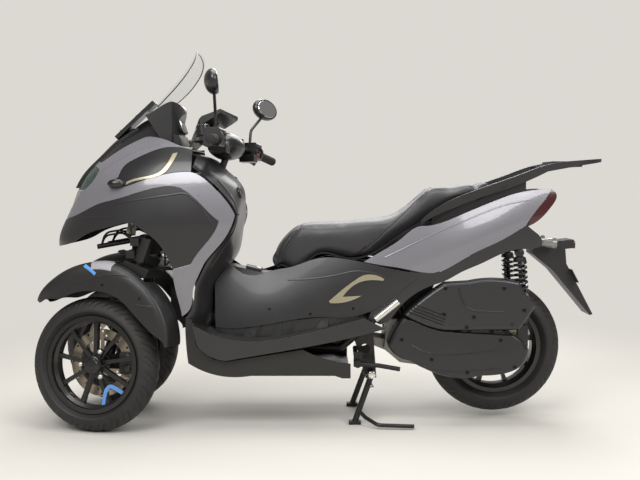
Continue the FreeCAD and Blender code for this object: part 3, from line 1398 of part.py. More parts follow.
def handle_cover():
    """The visor in front of the bars, the rounded cover over their middle and its neck."""
    face = [[(-565, 1118), (-553, 1152), (-532, 1185), (-512, 1216), (-491, 1227)],
            [(-491, 1227), (-451, 1239), (-397, 1258)], [(-397, 1258), (-397, 1243)],
            [(-397, 1243), (-451, 1210), (-491, 1185), (-532, 1144), (-556, 1110)]]
    head = V(S.column_x, 0, S.column_z)
    sweep = Part.makeCylinder(156, 300, head - STEER_AXIS * 60, STEER_AXIS)
    visor = side_slab(face, -105, 105).common(sweep)
    grow = FreeCAD.Matrix()
    grow.scale(72.0, 112.0, 56.0)
    middle = Part.makeSphere(1.0).transformGeometry(grow)
    middle.translate(V(-408, 0, 1118))
    neck = box_at(-505, -440, -42, 42, 1130, 1200)
    stem = Part.makeCylinder(S.column_radius + S.running_gap, 600, head - STEER_AXIS * 300,
                             STEER_AXIS)
    shape = fused(visor, middle, neck).cut([stem, bar_rod(S.bar_tube + S.running_gap)])
    add("handle_cover", solids_of(shape), column_turn())


def build():
    """Make every sub-part in the order in which the vehicle is put together."""
    front_wheels()
    rear_wheel()
    front_legs()
    lean_linkage()
    main_frame()
    engine()
    shocks()
    front_panels()
    windscreen()
    screen_mount()
    leg_shield()
    rear_panels()
    floor_panels()
    seat()
    storage_bin()
    carrier()
    plate_bracket()
    rear_signals()
    pegs()
    centre_stand()
    side_stand()
    handlebar()
    gold_trims()
    fuel_lid()
    controls()
    handle_cover()


def check_and_write():
    """Stop on a failed object or shape, then write one file per sub-part."""
    DOC.recompute()
    for obj in DOC.Objects:
        if "Invalid" in obj.State or "Error" in obj.State:
            raise RuntimeError(f"{obj.Label} failed: {obj.State}")
    os.makedirs("parts", exist_ok=True)
    for obj in PARTS:
        if obj.Shape.isNull() or not obj.Shape.isValid() or not obj.Shape.Solids:
            raise RuntimeError(f"{obj.Label} has no valid shape")
        obj.Shape.exportStep(os.path.join("parts", obj.Label + ".step"))
        print(f"{obj.Label:20s} {len(obj.Shape.Solids)} solids {obj.Shape.Volume / 1000:10.1f} cm3")


build()
check_and_write()
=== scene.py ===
"""Finishes and fine shapes of a leaning three-wheel scooter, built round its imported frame.

The front points to -X, the left side to -Y, up is +Z. Sizes are in millimetres and turn into
metres when a piece is made. Each sub-assembly is a class that builds its own pieces.
"""
import json
import logging
import math
from collections.abc import Callable, Sequence
from dataclasses import dataclass, field
from enum import Enum
from typing import Any

import bmesh
import bpy
from mathutils import Matrix, Vector
from mathutils.bvhtree import BVHTree


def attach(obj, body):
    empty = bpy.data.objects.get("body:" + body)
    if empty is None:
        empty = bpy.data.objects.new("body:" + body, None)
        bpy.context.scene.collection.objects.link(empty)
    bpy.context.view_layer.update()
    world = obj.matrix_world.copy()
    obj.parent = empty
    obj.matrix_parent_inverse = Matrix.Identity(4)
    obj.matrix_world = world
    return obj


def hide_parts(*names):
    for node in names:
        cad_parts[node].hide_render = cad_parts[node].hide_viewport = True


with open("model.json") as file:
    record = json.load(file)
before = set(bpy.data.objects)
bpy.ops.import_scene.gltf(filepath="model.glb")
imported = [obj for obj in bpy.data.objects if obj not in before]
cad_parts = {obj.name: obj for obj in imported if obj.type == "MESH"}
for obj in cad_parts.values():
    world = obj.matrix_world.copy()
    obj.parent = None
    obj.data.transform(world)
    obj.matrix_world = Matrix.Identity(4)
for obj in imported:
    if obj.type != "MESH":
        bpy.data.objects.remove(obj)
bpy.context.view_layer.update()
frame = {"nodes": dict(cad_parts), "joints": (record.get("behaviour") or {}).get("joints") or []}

LOG = logging.getLogger("trike")
# Metres in a millimetre, how far off a straight line starts, the angles past which an edge
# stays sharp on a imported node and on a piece, and the bars' turn as the vehicle stands.
MM = 0.001
FAR = 1500.0
NODE_CREASE_DEG = 32.0
PIECE_CREASE_DEG = 38.0
STEER_REST_DEG = -15.0
Point = tuple[float, float, float]
Flat = tuple[float, float]


def linear(hex_colour: str) -> tuple[float, float, float, float]:
    """Turn an sRGB hex colour into the linear colour that a shader takes.

    Args:
        hex_colour: Six hex digits, without a mark before them.

    Returns:
        Linear red, green and blue with full opacity.
    """
    channels = [int(hex_colour[i:i + 2], 16) / 255 for i in (0, 2, 4)]
    bright = [c / 12.92 if c <= 0.04045 else ((c + 0.055) / 1.055) ** 2.4 for c in channels]
    return (bright[0], bright[1], bright[2], 1.0)


def add_node(tree: bpy.types.NodeTree, kind: str, settings: dict[str, Any] | None = None,
             links: dict[str | int, Any] | None = None) -> bpy.types.Node:
    """Add one shader node with its settings, socket values and incoming links.

    Args:
        tree: The material's node tree.
        kind: The node's type name.
        settings: Attributes of the node itself.
        links: For each input, a plain value or the output socket that feeds it.

    Returns:
        The new node.
    """
    made = tree.nodes.new(kind)
    for key, value in (settings or {}).items():
        setattr(made, key, value)
    for key, value in (links or {}).items():
        if isinstance(value, bpy.types.NodeSocket):
            tree.links.new(value, made.inputs[key])
        else:
            made.inputs[key].default_value = value
    return made


class Surface(Enum):
    """How a surface was made, which sets the pattern that breaks it up."""

    MOULDED = "moulded"
    CAST = "cast"
    BRUSHED = "brushed"
    LACQUERED = "lacquered"
    LEATHER = "leather"
    SMOOTH = "smooth"


@dataclass(frozen=True)
class Finish:
    """One real material and the way its surface was made.

    The grain is the real spacing of the pattern in millimetres, drawn coarser where the
    real one is too fine to show. The edge is the radius by which corners catch the light.
    """

    name: str
    colour: str
    shade: str
    roughness: float
    surface: Surface = Surface.MOULDED
    metallic: float = 0.0
    grain_mm: float = 1.0
    depth_mm: float = 0.05
    coat: float = 0.0
    sheen: float = 0.0
    clear: float = 0.0
    edge_mm: float = 0.0

    def material(self) -> bpy.types.Material:
        """Return the material, built once and shared after that."""
        found = bpy.data.materials.get(self.name)
        return found if found else self._build()

    def _build(self) -> bpy.types.Material:
        """Build the node tree: tint, grain and roughness all come from the pattern.

        Returns:
            The new material.
        """
        made = bpy.data.materials.new(self.name)
        made.use_nodes = True
        tree = made.node_tree
        shader = next(n for n in tree.nodes if n.type == "BSDF_PRINCIPLED")
        place = add_node(tree, "ShaderNodeTexCoord").outputs["Object"]
        patch = add_node(tree, "ShaderNodeTexNoise", None,
                         {"Vector": place, "Scale": 9.0, "Detail": 3.0, "Roughness": 0.55})
        tint = add_node(tree, "ShaderNodeMix", {"data_type": "RGBA"},
                        {0: patch.outputs["Fac"], 6: linear(self.colour), 7: linear(self.shade)})
        rough = add_node(tree, "ShaderNodeMapRange", None,
                         {"Value": patch.outputs["Fac"], "From Min": 0.3, "From Max": 0.7,
                          "To Min": self.roughness * 0.88, "To Max": self.roughness * 1.12})
        tree.links.new(tint.outputs[2], shader.inputs["Base Color"])
        tree.links.new(rough.outputs["Result"], shader.inputs["Roughness"])
        shader.inputs["Metallic"].default_value = self.metallic
        shader.inputs["Coat Weight"].default_value = self.coat
        shader.inputs["Coat Roughness"].default_value = 0.06
        shader.inputs["Sheen Weight"].default_value = self.sheen
        shader.inputs["Transmission Weight"].default_value = self.clear
        self._relief(tree, shader, place)
        return made

    def _relief(self, tree: bpy.types.NodeTree, shader: bpy.types.Node,
                place: bpy.types.NodeSocket) -> None:
        """Feed the shader's normal from rounded edges and the surface's own grain.

        Args:
            tree: The material's node tree.
            shader: The material's main shader.
            place: Object coordinates in metres.
        """
        normal = None
        if self.edge_mm:
            normal = add_node(tree, "ShaderNodeBevel", {"samples": 4},
                              {"Radius": self.edge_mm * MM}).outputs["Normal"]
        height = self._pattern(tree, place)
        if height is not None:
            bump = add_node(tree, "ShaderNodeBump", None,
                            {"Strength": 0.6, "Distance": self.depth_mm * MM, "Height": height})
            if normal is not None:
                tree.links.new(normal, bump.inputs["Normal"])
            normal = bump.outputs["Normal"]
        if normal is not None:
            tree.links.new(normal, shader.inputs["Normal"])

    def _pattern(self, tree: bpy.types.NodeTree,
                 place: bpy.types.NodeSocket) -> bpy.types.NodeSocket | None:
        """Add the surface's own pattern at its real scale.

        Args:
            tree: The material's node tree.
            place: Object coordinates in metres.

        Returns:
            The height of the pattern, or None on a smooth surface.
        """
        scale = 1.0 / (self.grain_mm * MM)
        if self.surface is Surface.LEATHER:
            cells = add_node(tree, "ShaderNodeTexVoronoi", {"feature": "DISTANCE_TO_EDGE"},
                             {"Vector": place, "Scale": scale, "Randomness": 0.9})
            folds = add_node(tree, "ShaderNodeMapRange", None,
                             {"Value": cells.outputs["Distance"], "From Max": 0.18})
            return folds.outputs["Result"]
        if self.surface is Surface.BRUSHED:
            drawn = add_node(tree, "ShaderNodeMapping", None,
                             {"Vector": place, "Scale": (scale * 0.04, scale, scale)})
            lines = add_node(tree, "ShaderNodeTexNoise", None,
                             {"Vector": drawn.outputs[0], "Scale": 1.0, "Detail": 2.0})
            return lines.outputs["Fac"]
        if self.surface is Surface.SMOOTH:
            return None
        grain = add_node(tree, "ShaderNodeTexNoise", None,
                         {"Vector": place, "Scale": scale, "Detail": 2.0, "Roughness": 0.6})
        return grain.outputs["Fac"]


# Tyre rubber, moulded: matt and nearly black, with the fine pits that the mould leaves.
TYRE_RUBBER = Finish("tyre_rubber_moulded", "211f1e", "1b1918", 0.62, grain_mm=1.4, depth_mm=0.08)
# Cast aluminium under satin black powder coat: a soft highlight and a slight orange peel.
BLACK_WHEEL = Finish("cast_aluminium_black_powder_coat", "171616", "121111", 0.30, Surface.CAST,
                     grain_mm=2.2, depth_mm=0.05, coat=0.2, edge_mm=1.5)
# Stainless steel, ground flat: pale and warm, with fine grinding lines.
DISC_STEEL = Finish("stainless_steel_ground", "b7ab9a", "a39683", 0.34, Surface.BRUSHED, 0.9,
                    grain_mm=0.9, depth_mm=0.02)
# Polypropylene, spark-eroded mould grain: dark, matt, with a fine even sparkle.
FENDER_PLASTIC = Finish("polypropylene_grained", "201f1f", "1a1919", 0.42, grain_mm=0.9,
                        depth_mm=0.05, edge_mm=1.5)
# ABS, painted satin dark grey: the main covers, smoother than the fenders.
DARK_PLASTIC = Finish("abs_painted_satin_dark_grey", "262526", "201f20", 0.34, grain_mm=1.0,
                      depth_mm=0.02, coat=0.15, edge_mm=2.0)
# ABS, painted black: the brow, the blades and the bars' covers.
BLACK_PLASTIC = Finish("abs_painted_satin_black", "191919", "151415", 0.30, grain_mm=1.0,
                       depth_mm=0.02, coat=0.2, edge_mm=2.0)
# Polypropylene for foot boards and belly, grained and browner than the painted covers.
BELLY_PLASTIC = Finish("polypropylene_belly_grained", "221f1d", "1c1a18", 0.48, grain_mm=1.0,
                       depth_mm=0.05, edge_mm=1.5)
# ABS under metallic grey base coat and clear lacquer: bright reflections over fine flakes.
GREY_LACQUER = Finish("abs_grey_metallic_lacquer", "7b797f", "747278", 0.30, Surface.LACQUERED,
                      0.25, grain_mm=0.5, depth_mm=0.006, coat=1.0, edge_mm=2.0)
# Steel tube, black powder coat.
FRAME_STEEL = Finish("steel_tube_black_powder_coat", "151414", "100f0f", 0.38, Surface.CAST,
                     grain_mm=1.8, depth_mm=0.04, edge_mm=1.2)
# Spring steel, black enamel.
SPRING_STEEL = Finish("spring_steel_black_enamel", "1b1a1a", "141414", 0.28, Surface.SMOOTH,
                      coat=0.6)
# Chromed steel rod: dampers and axles.
CHROME = Finish("steel_hard_chromed", "cfcfcf", "bdbdbd", 0.12, Surface.SMOOTH, 1.0)
# Die cast aluminium, bare: light grey with a sandy skin.
CAST_METAL = Finish("aluminium_die_cast_bare", "8f8d88", "7c7a75", 0.45, Surface.CAST, 0.9,
                    grain_mm=1.6, depth_mm=0.08, edge_mm=1.5)
# Die cast aluminium under grey paint: brake calipers.
CALIPER_METAL = Finish("aluminium_die_cast_grey_paint", "3a3836", "2f2d2c", 0.40, Surface.CAST,
                       0.3, grain_mm=1.5, depth_mm=0.05, edge_mm=2.0)
# Polished cast aluminium: the folding pegs, bright with soft wear.
PEG_METAL = Finish("aluminium_cast_polished", "e6e3df", "d2cfca", 0.24, Surface.BRUSHED, 0.85,
                   grain_mm=1.2, depth_mm=0.02)
# Champagne satin paint over ABS: the bright trims.
GOLD_TRIM = Finish("abs_champagne_satin_metallic", "aea68c", "a0987e", 0.26, Surface.LACQUERED,
                   0.5, grain_mm=0.6, depth_mm=0.006, coat=0.4)
# Vinyl seat leather, embossed: fine cells and a low sheen on the crowns. The top's lighter grey is
# painted light and the sides' darker grey is painted shade.
SEAT_LIT_TOP = Finish("vinyl_leather_embossed_top_painted_light", "454346", "3d3b3e", 0.48, Surface.LEATHER,
                  grain_mm=2.4, depth_mm=0.16, sheen=0.12)
SEAT_SHADED_SIDE = Finish("vinyl_leather_smooth_side_painted_shade", "2f2e30", "29282a", 0.42, Surface.LEATHER,
                   grain_mm=1.8, depth_mm=0.08, sheen=0.1)
SEAT_REAR = Finish("vinyl_leather_black_embossed", "222224", "1c1c1e", 0.46, Surface.LEATHER,
                   grain_mm=2.4, depth_mm=0.16, sheen=0.1)
# Polyester thread in the seams, a little lighter than the vinyl.
THREAD = Finish("polyester_thread_twisted", "6a686b", "5a585b", 0.7, grain_mm=0.6, depth_mm=0.1)
# Thermoplastic rubber grips and foot mats.
GRIP_RUBBER = Finish("grip_rubber_ribbed", "1d1c1b", "171616", 0.7, grain_mm=0.8, depth_mm=0.06)
# Steel can under black heat paint.
MUFFLER_PAINT = Finish("steel_black_heat_paint", "1a1918", "131312", 0.42, Surface.CAST,
                       grain_mm=1.4, depth_mm=0.05, edge_mm=1.5)
# Silvered mirror glass.
MIRROR_GLASS = Finish("glass_silvered", "c9cbcd", "c4c6c8", 0.03, Surface.SMOOTH, 1.0)
# Acrylic tail lens, moulded red.
RED_LENS = Finish("acrylic_red_moulded", "470d12", "360a0d", 0.14, grain_mm=5.0, depth_mm=0.2,
                  coat=1.0, clear=0.1)
# Polycarbonate lamp cover over a dark reflector, green from its hard coat.
LAMP_DARK = Finish("polycarbonate_lamp_cover_green", "2c4a40", "15231f", 0.10, Surface.SMOOTH,
                   coat=1.0, clear=0.2)
# Polycarbonate lamp cover over a bright reflector.
LAMP_CLEAR = Finish("polycarbonate_lamp_cover_clear", "a9aca8", "7f837f", 0.08, Surface.SMOOTH,
                    coat=1.0, clear=0.35)
# Acrylic signal lens, smoked clear.
SIGNAL_LENS = Finish("acrylic_smoked_clear", "8f8d88", "77756f", 0.15, grain_mm=4.0,
                     depth_mm=0.2, coat=1.0, clear=0.3)
# Acrylic signal tip, smoked dark.
SMOKE_LENS = Finish("acrylic_smoke_moulded", "1c1b1c", "151415", 0.14, grain_mm=4.0)
# Zinc-plated steel bolts.
BOLT_STEEL = Finish("steel_zinc_plated", "e2e0db", "cbc8c2", 0.28, Surface.SMOOTH, 0.8)
# Black oxide screws.
BLACK_SCREW = Finish("steel_black_oxide", "161616", "101010", 0.35, Surface.SMOOTH, 0.6)
# Reflective vinyl tape, light blue.
BLUE_TAPE = Finish("vinyl_tape_light_blue", "5c95d8", "528bce", 0.35, Surface.SMOOTH, coat=0.3)
# Pale grey vinyl film.
GREY_FILM = Finish("vinyl_film_pale_grey", "9a979c", "929095", 0.4, Surface.SMOOTH, coat=0.2)
# Pearl white painted steel: the horn.
HORN_PAINT = Finish("steel_horn_cream_enamel", "d6d2c6", "c6c1b4", 0.35, Surface.SMOOTH, coat=0.4)
# Black ABS: grilles and the inside of lamps; laid over gaps and holes it is painted shade.
INNER_BLACK_AND_GAP_SHADE = Finish("abs_black_inner_and_gap_shade", "121212", "0d0d0d", 0.6, grain_mm=1.5, depth_mm=0.03)
# Glass over a switched-off display: dark and glossy.
DISPLAY_GLASS = Finish("glass_display_dark", "101416", "0c1012", 0.08, Surface.SMOOTH, coat=1.0)
# Coloured moulded keys.
RED_KEY = Finish("abs_red_moulded", "8e1f1c", "7d1a17", 0.4, grain_mm=1.0, depth_mm=0.02)


@dataclass(frozen=True)
class ClearScreen(Finish):
    """Polycarbonate sheet: nearly invisible face on, with a bright rim and a soft gloss."""

    def _build(self) -> bpy.types.Material:
        """Build thin clear sheet that lets most light through and keeps its gloss.

        Returns:
            The new material.
        """
        made = bpy.data.materials.new(self.name)
        made.use_nodes = True
        tree = made.node_tree
        shader = next(n for n in tree.nodes if n.type == "BSDF_PRINCIPLED")
        place = add_node(tree, "ShaderNodeTexCoord").outputs["Object"]
        haze = add_node(tree, "ShaderNodeTexNoise", None, {"Vector": place, "Scale": 14.0})
        rough = add_node(tree, "ShaderNodeMapRange", None,
                         {"Value": haze.outputs["Fac"], "To Min": 0.03, "To Max": 0.09})
        tree.links.new(rough.outputs["Result"], shader.inputs["Roughness"])
        shader.inputs["Base Color"].default_value = linear(self.colour)
        shader.inputs["Alpha"].default_value = 0.10
        shader.inputs["IOR"].default_value = 1.58
        return made


CLEAR_SCREEN = ClearScreen("polycarbonate_sheet_clear", "b9bcbc", "b9bcbc", 0.06, Surface.SMOOTH)


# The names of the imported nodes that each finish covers.
FINISH_NODES: tuple[tuple[Finish, str], ...] = (
    (TYRE_RUBBER, "front_tyre_l front_tyre_r rear_tyre"),
    (BLACK_WHEEL, "front_rim_l front_rim_r rear_rim"),
    (DISC_STEEL, "front_disc_l front_disc_r rear_disc"),
    (FRAME_STEEL, "fork_l fork_r lean_linkage swing_arm handlebar main_frame centre_stand "
                  "side_stand"),
    (SPRING_STEEL, "rear_shocks"),
    (FENDER_PLASTIC, "fender_l fender_r plate_bracket tail_ledges grab_rail"),
    (CALIPER_METAL, "front_caliper_l front_caliper_r rear_caliper"),
    (CAST_METAL, "engine_block"),
    (CHROME, "rear_axle"),
    (BLACK_PLASTIC, "cvt_cover cowl_blades cowl_brow screen_mount handle_cover mirrors controls"),
    (DARK_PLASTIC, "air_cleaner lower_cowl dash_shroud leg_shield side_covers under_tail "
                   "floorboards tunnel_cover fuel_lid"),
    (BELLY_PLASTIC, "belly_cover storage_bin"),
    (INNER_BLACK_AND_GAP_SHADE, "seat_base"),
    (GREY_LACQUER, "upper_cowl tail_cowls"),
    (LAMP_DARK, "front_lamps"),
    (CLEAR_SCREEN, "windscreen"),
    (RED_LENS, "tail_lamp"),
    (SIGNAL_LENS, "rear_signals"),
    (SEAT_LIT_TOP, "seat_cushion"),
    (MUFFLER_PAINT, "muffler"),
    (PEG_METAL, "passenger_pegs"),
    (GRIP_RUBBER, "grips"),
    (MIRROR_GLASS, "mirror_glass"),
    (GOLD_TRIM, "gold_trims"),
)


def dress_nodes() -> None:
    """Give every carried-over node its finish and smooth its curved faces."""
    for finish, names in FINISH_NODES:
        for name in names.split():
            data = frame["nodes"][name].data
            data.materials.clear()
            data.materials.append(finish.material())
            smooth_shaded(data, NODE_CREASE_DEG)
            LOG.info("dressed %s in %s", name, finish.name)


def smooth_shaded(data: bpy.types.Mesh, crease_deg: float) -> None:
    """Shade a mesh smoothly, apart from edges sharper than an angle."""
    data.polygons.foreach_set("use_smooth", [True] * len(data.polygons))
    data.set_sharp_from_angle(angle=math.radians(crease_deg))


def turns(count: int) -> list[float]:
    """Evenly spaced angles round a full turn."""
    return [math.tau * i / count for i in range(count)]


def smooth_line(points: Sequence[Sequence[float]], step: float) -> list[Vector]:
    """Run a smooth line through points, sampled at an even spacing.

    Args:
        points: The points, of two or three coordinates each.
        step: The spacing along the line.

    Returns:
        Points along the line, from the first to the last.
    """
    knots = [Vector(p) for p in points]
    ends = [knots[0] * 2 - knots[1]] + knots + [knots[-1] * 2 - knots[-2]]
    line = []
    for a, b, c, d in zip(ends, ends[1:], ends[2:], ends[3:]):
        count = max(1, round((c - b).length / step))
        for i in range(count):
            t = i / count
            line.append(0.5 * (b * 2 + (c - a) * t + (a * 2 - b * 5 + c * 4 - d) * t * t
                               + (b * 3 - a - c * 3 + d) * t ** 3))
    return line + [knots[-1]]


def aimed(point: Sequence[float], way: Sequence[float]) -> Matrix:
    """A placement at a point whose own Y axis points along a way."""
    turn = Vector(way).to_track_quat("Y", "Z").to_matrix().to_4x4()
    return Matrix.Translation(Vector(point)) @ turn


def squared(share: float, power: float) -> float:
    """A coordinate of a rounded outline: an ellipse at power 2, squarer above it."""
    return math.copysign(abs(share) ** (2 / power), share)


@dataclass
class Form:
    """Points in millimetres and faces of one piece, before it becomes an object."""

    points: list[Vector] = field(default_factory=list)
    faces: list[tuple[int, ...]] = field(default_factory=list)

    def sheet(self, rows: Sequence[Sequence[Vector]], around: bool = True,
              along: bool = False) -> "Form":
        """Join equal rows of points with quads.

        Args:
            rows: The rows, all of the same length.
            around: Whether each row closes on itself.
            along: Whether the last row joins the first.

        Returns:
            The form itself.
        """
        first = len(self.points)
        count, width = len(rows), len(rows[0])
        for row in rows:
            self.points.extend(row)
        for i in range(count if along else count - 1):
            low, high = first + i * width, first + (i + 1) % count * width
            for j in range(width if around else width - 1):
                k = (j + 1) % width
                self.faces.append((low + j, low + k, high + k, high + j))
        return self

    def cap(self, row: Sequence[Vector]) -> "Form":
        """Close an end with one face.

        Args:
            row: The points round the end.

        Returns:
            The form itself.
        """
        first = len(self.points)
        self.points.extend(row)
        self.faces.append(tuple(range(first, first + len(row))))
        return self

    def run(self, rows: Sequence[Sequence[Vector]]) -> "Form":
        """Join closed rows into a solid with both ends capped."""
        return self.sheet(rows).cap(rows[0]).cap(rows[-1])

    def tube(self, path: Sequence[Vector], radius: float | Callable[[float], float],
             sides: int = 10) -> "Form":
        """Run a round tube along a path.

        Args:
            path: The points of its middle line.
            radius: Its radius, or a function of the share of its length.
            sides: The number of its sides.

        Returns:
            The form itself.
        """
        rows, normal, last = [], None, len(path) - 1
        for i, point in enumerate(path):
            ahead = (path[min(i + 1, last)] - path[max(i - 1, 0)]).normalized()
            normal = ahead.orthogonal() if normal is None else normal - ahead * normal.dot(ahead)
            normal.normalize()
            other = ahead.cross(normal)
            reach = radius(i / last) if callable(radius) else radius
            rows.append([point + (normal * math.cos(t) + other * math.sin(t)) * reach
                         for t in turns(sides)])
        return self.run(rows)

    def lathe(self, place: Matrix, profile: Sequence[Flat], steps: int = 32) -> "Form":
        """Turn a profile of (axial, radius) points round the placement's own Y axis.

        Args:
            place: Where the axis lies.
            profile: The profile, from one end to the other.
            steps: The number of steps round the axis.

        Returns:
            The form itself.
        """
        return self.run([[place @ Vector((r * math.sin(t), axial, r * math.cos(t)))
                          for t in turns(steps)] for axial, r in profile])

    def button(self, place: Matrix, half_x: float, half_z: float, depth: float,
               power: float = 4.0, steps: int = 28) -> "Form":
        """Raise a pad with a rounded outline and a softened rim along the placement's Y axis.

        Args:
            place: Where its foot lies.
            half_x: Half its width.
            half_z: Half its height.
            depth: How far it rises.
            power: 2 for an ellipse, more for a squarer outline.
            steps: The number of points round it.

        Returns:
            The form itself.
        """
        soft = min(depth, half_x, half_z) * 0.3
        levels = ((0, 0), (0, depth - soft), (soft * 0.3, depth - soft * 0.3), (soft, depth))
        return self.run([[place @ Vector((squared(math.cos(t), power) * (half_x - drawn), rise,
                                          squared(math.sin(t), power) * (half_z - drawn)))
                          for t in turns(steps)] for drawn, rise in levels])

    def mirrored(self) -> "Form":
        """Add the mirror image in the middle plane.

        Returns:
            The form itself.
        """
        first = len(self.points)
        self.points += [Vector((p.x, -p.y, p.z)) for p in self.points]
        self.faces += [tuple(first + i for i in reversed(f)) for f in self.faces]
        return self

    def moved(self, place: Matrix) -> "Form":
        """Put the whole form through a placement."""
        self.points = [place @ p for p in self.points]
        return self

    def piece(self, name: str, finish: Finish, body: str, slot: str,
              *stands_for: str) -> bpy.types.Object:
        """Turn the form into an object that rides on a body.

        Args:
            name: The piece's name.
            finish: Its material.
            body: The body it rides on.
            slot: The record's material slot, which is not used.
            stands_for: The nodes it replaces, if any.

        Returns:
            The new object.
        """
        mesh = bpy.data.meshes.new(name)
        mesh.from_pydata([p * MM for p in self.points], [], self.faces)
        work = bmesh.new()
        work.from_mesh(mesh)
        bmesh.ops.remove_doubles(work, verts=work.verts, dist=1e-5)
        bmesh.ops.recalc_face_normals(work, faces=work.faces)
        work.to_mesh(mesh)
        work.free()
        smooth_shaded(mesh, PIECE_CREASE_DEG)
        mesh.materials.append(finish.material())
        made = bpy.data.objects.new(name, mesh)
        bpy.context.scene.collection.objects.link(made)
        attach(made, body)
        if stands_for:
            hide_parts(*stands_for)
        LOG.info("built %s with %d faces", name, len(mesh.polygons))
        return made


class View(Enum):
    """The side from which straight lines meet a skin, and which two coordinates aim them."""

    LEFT = "left"
    RIGHT = "right"
    TOP = "top"
    FRONT = "front"
    REAR = "rear"

    def line(self, a: float, b: float) -> tuple[Vector, Vector]:
        """The start and the direction of a straight line towards the vehicle.

        Args:
            a: X in a side view and from above, Y from the front and the rear.
            b: Z, or Y from above.

        Returns:
            Where the line starts and the way it runs.
        """
        lines = {
            "left": ((a, -FAR, b), (0, 1, 0)), "right": ((a, FAR, b), (0, -1, 0)),
            "top": ((a, b, 2 * FAR), (0, 0, -1)), "front": ((-FAR, a, b), (1, 0, 0)),
            "rear": ((FAR, a, b), (-1, 0, 0))}
        start, way = lines[self.value]
        return Vector(start), Vector(way)


@dataclass
class Skin:
    """The outside of some objects, met by straight lines, in millimetres."""

    sources: Sequence[bpy.types.Object]
    place: Matrix = field(default_factory=lambda: Matrix.Identity(4))
    tree: BVHTree = field(init=False)

    def __post_init__(self) -> None:
        """Gather the faces of every source."""
        points, faces = [], []
        for source in self.sources:
            first = len(points)
            points += [v.co / MM for v in source.data.vertices]
            faces += [[first + i for i in p.vertices] for p in source.data.polygons]
        self.tree = BVHTree.FromPolygons(points, faces)

    def meet(self, start: Vector, way: Vector) -> tuple[Vector, Vector] | None:
        """Where a line drawn in this skin's own frame meets it first.

        Args:
            start: Where the line starts.
            way: The way it runs.

        Returns:
            The point and the outward normal there, or None where the line misses.
        """
        heading = self.place.to_3x3() @ way
        hit, normal, _, _ = self.tree.ray_cast(self.place @ start, heading)
        if hit is None:
            return None
        return hit, (-normal if normal.dot(heading) > 0 else normal)

    def spots(self, view: View, *places: Flat) -> list[Matrix]:
        """Placements on the skin, with Y along its outward normal, where lines meet it.

        Args:
            view: The view in which the places are given.
            places: The two coordinates of each line.

        Returns:
            One placement for each line that meets the skin.
        """
        found = [self.meet(*view.line(*place)) for place in places]
        return [aimed(*met) for met in found if met is not None]

    def strip(self, form: Form, view: View, path: Sequence[Flat], width: float,
              lift: float = 0.5, step: float = 8.0, sunk: float = 0.8) -> Form:
        """Lay a thin strip along a line drawn in one view.

        Args:
            form: The form that takes the strip.
            view: The view in which the line is drawn.
            path: The line's points.
            width: The strip's width.
            lift: How far it stands off the skin.
            step: The spacing of its rows.
            sunk: How far its edges go under the skin.

        Returns:
            The form that took it.
        """
        line = smooth_line(path, step)
        rows = []
        for i, point in enumerate(line):
            ahead = line[min(i + 1, len(line) - 1)] - line[max(i - 1, 0)]
            across = Vector((-ahead.y, ahead.x)).normalized() * width
            row = []
            for share, height in ((-0.5, -sunk), (-0.5, lift * 0.6), (-0.3, lift), (0.3, lift),
                                  (0.5, lift * 0.6), (0.5, -sunk)):
                met = self.meet(*view.line(*(point + across * share)))
                if met is not None:
                    row.append(met[0] + met[1] * height)
            if len(row) == 6:
                rows.append(row)
        return form.run(rows) if len(rows) > 1 else form


def skin_of(*names: str, place: Matrix | None = None) -> Skin:
    """The skin of some CAD nodes."""
    nodes = [frame["nodes"][name] for name in names]
    return Skin(nodes, place) if place is not None else Skin(nodes)


def joint_place(name: str) -> Matrix:
    """The place of a joint, in millimetres."""
    found = next(j for j in frame["joints"] if j["name"] == name)
    return Matrix.Translation(Vector(found["pos_m"]) / MM)


def steer_turn() -> Matrix:
    """The turn of the steered parts as the vehicle stands."""
    found = next(j for j in frame["joints"] if j["name"] == "steering")
    return Matrix.Rotation(math.radians(STEER_REST_DEG), 4, Vector(found["axis"]))


def bolt(form: Form, place: Matrix, radius: float, height: float) -> Form:
    """Add a hexagon bolt with a washer and a chamfered head."""
    form.lathe(place, ((-1, radius * 1.35), (height * 0.2, radius * 1.35)), 20)
    return form.lathe(place, ((0, radius), (height * 0.8, radius), (height, radius * 0.8)), 6)


def screw(form: Form, place: Matrix, radius: float) -> Form:
    """Add a round-headed screw with a sunk middle."""
    return form.lathe(place, ((-1, radius), (radius * 0.4, radius), (radius * 0.6, radius * 0.75),
                              (radius * 0.6, radius * 0.4), (radius * 0.2, radius * 0.35)), 16)


def spring(top: Vector, foot: Vector, radius: float, coils: float) -> list[Vector]:
    """The middle line of a coil spring between two points.

    Args:
        top: Where it begins.
        foot: Where it ends.
        radius: The radius of its coils.
        coils: The number of its coils.

    Returns:
        Points along the wire.
    """
    place = aimed(top, foot - top)
    length = (foot - top).length
    count = int(coils * 18)
    return [place @ Vector((radius * math.sin(math.tau * coils * i / count),
                            length * i / count,
                            radius * math.cos(math.tau * coils * i / count)))
            for i in range(count + 1)]


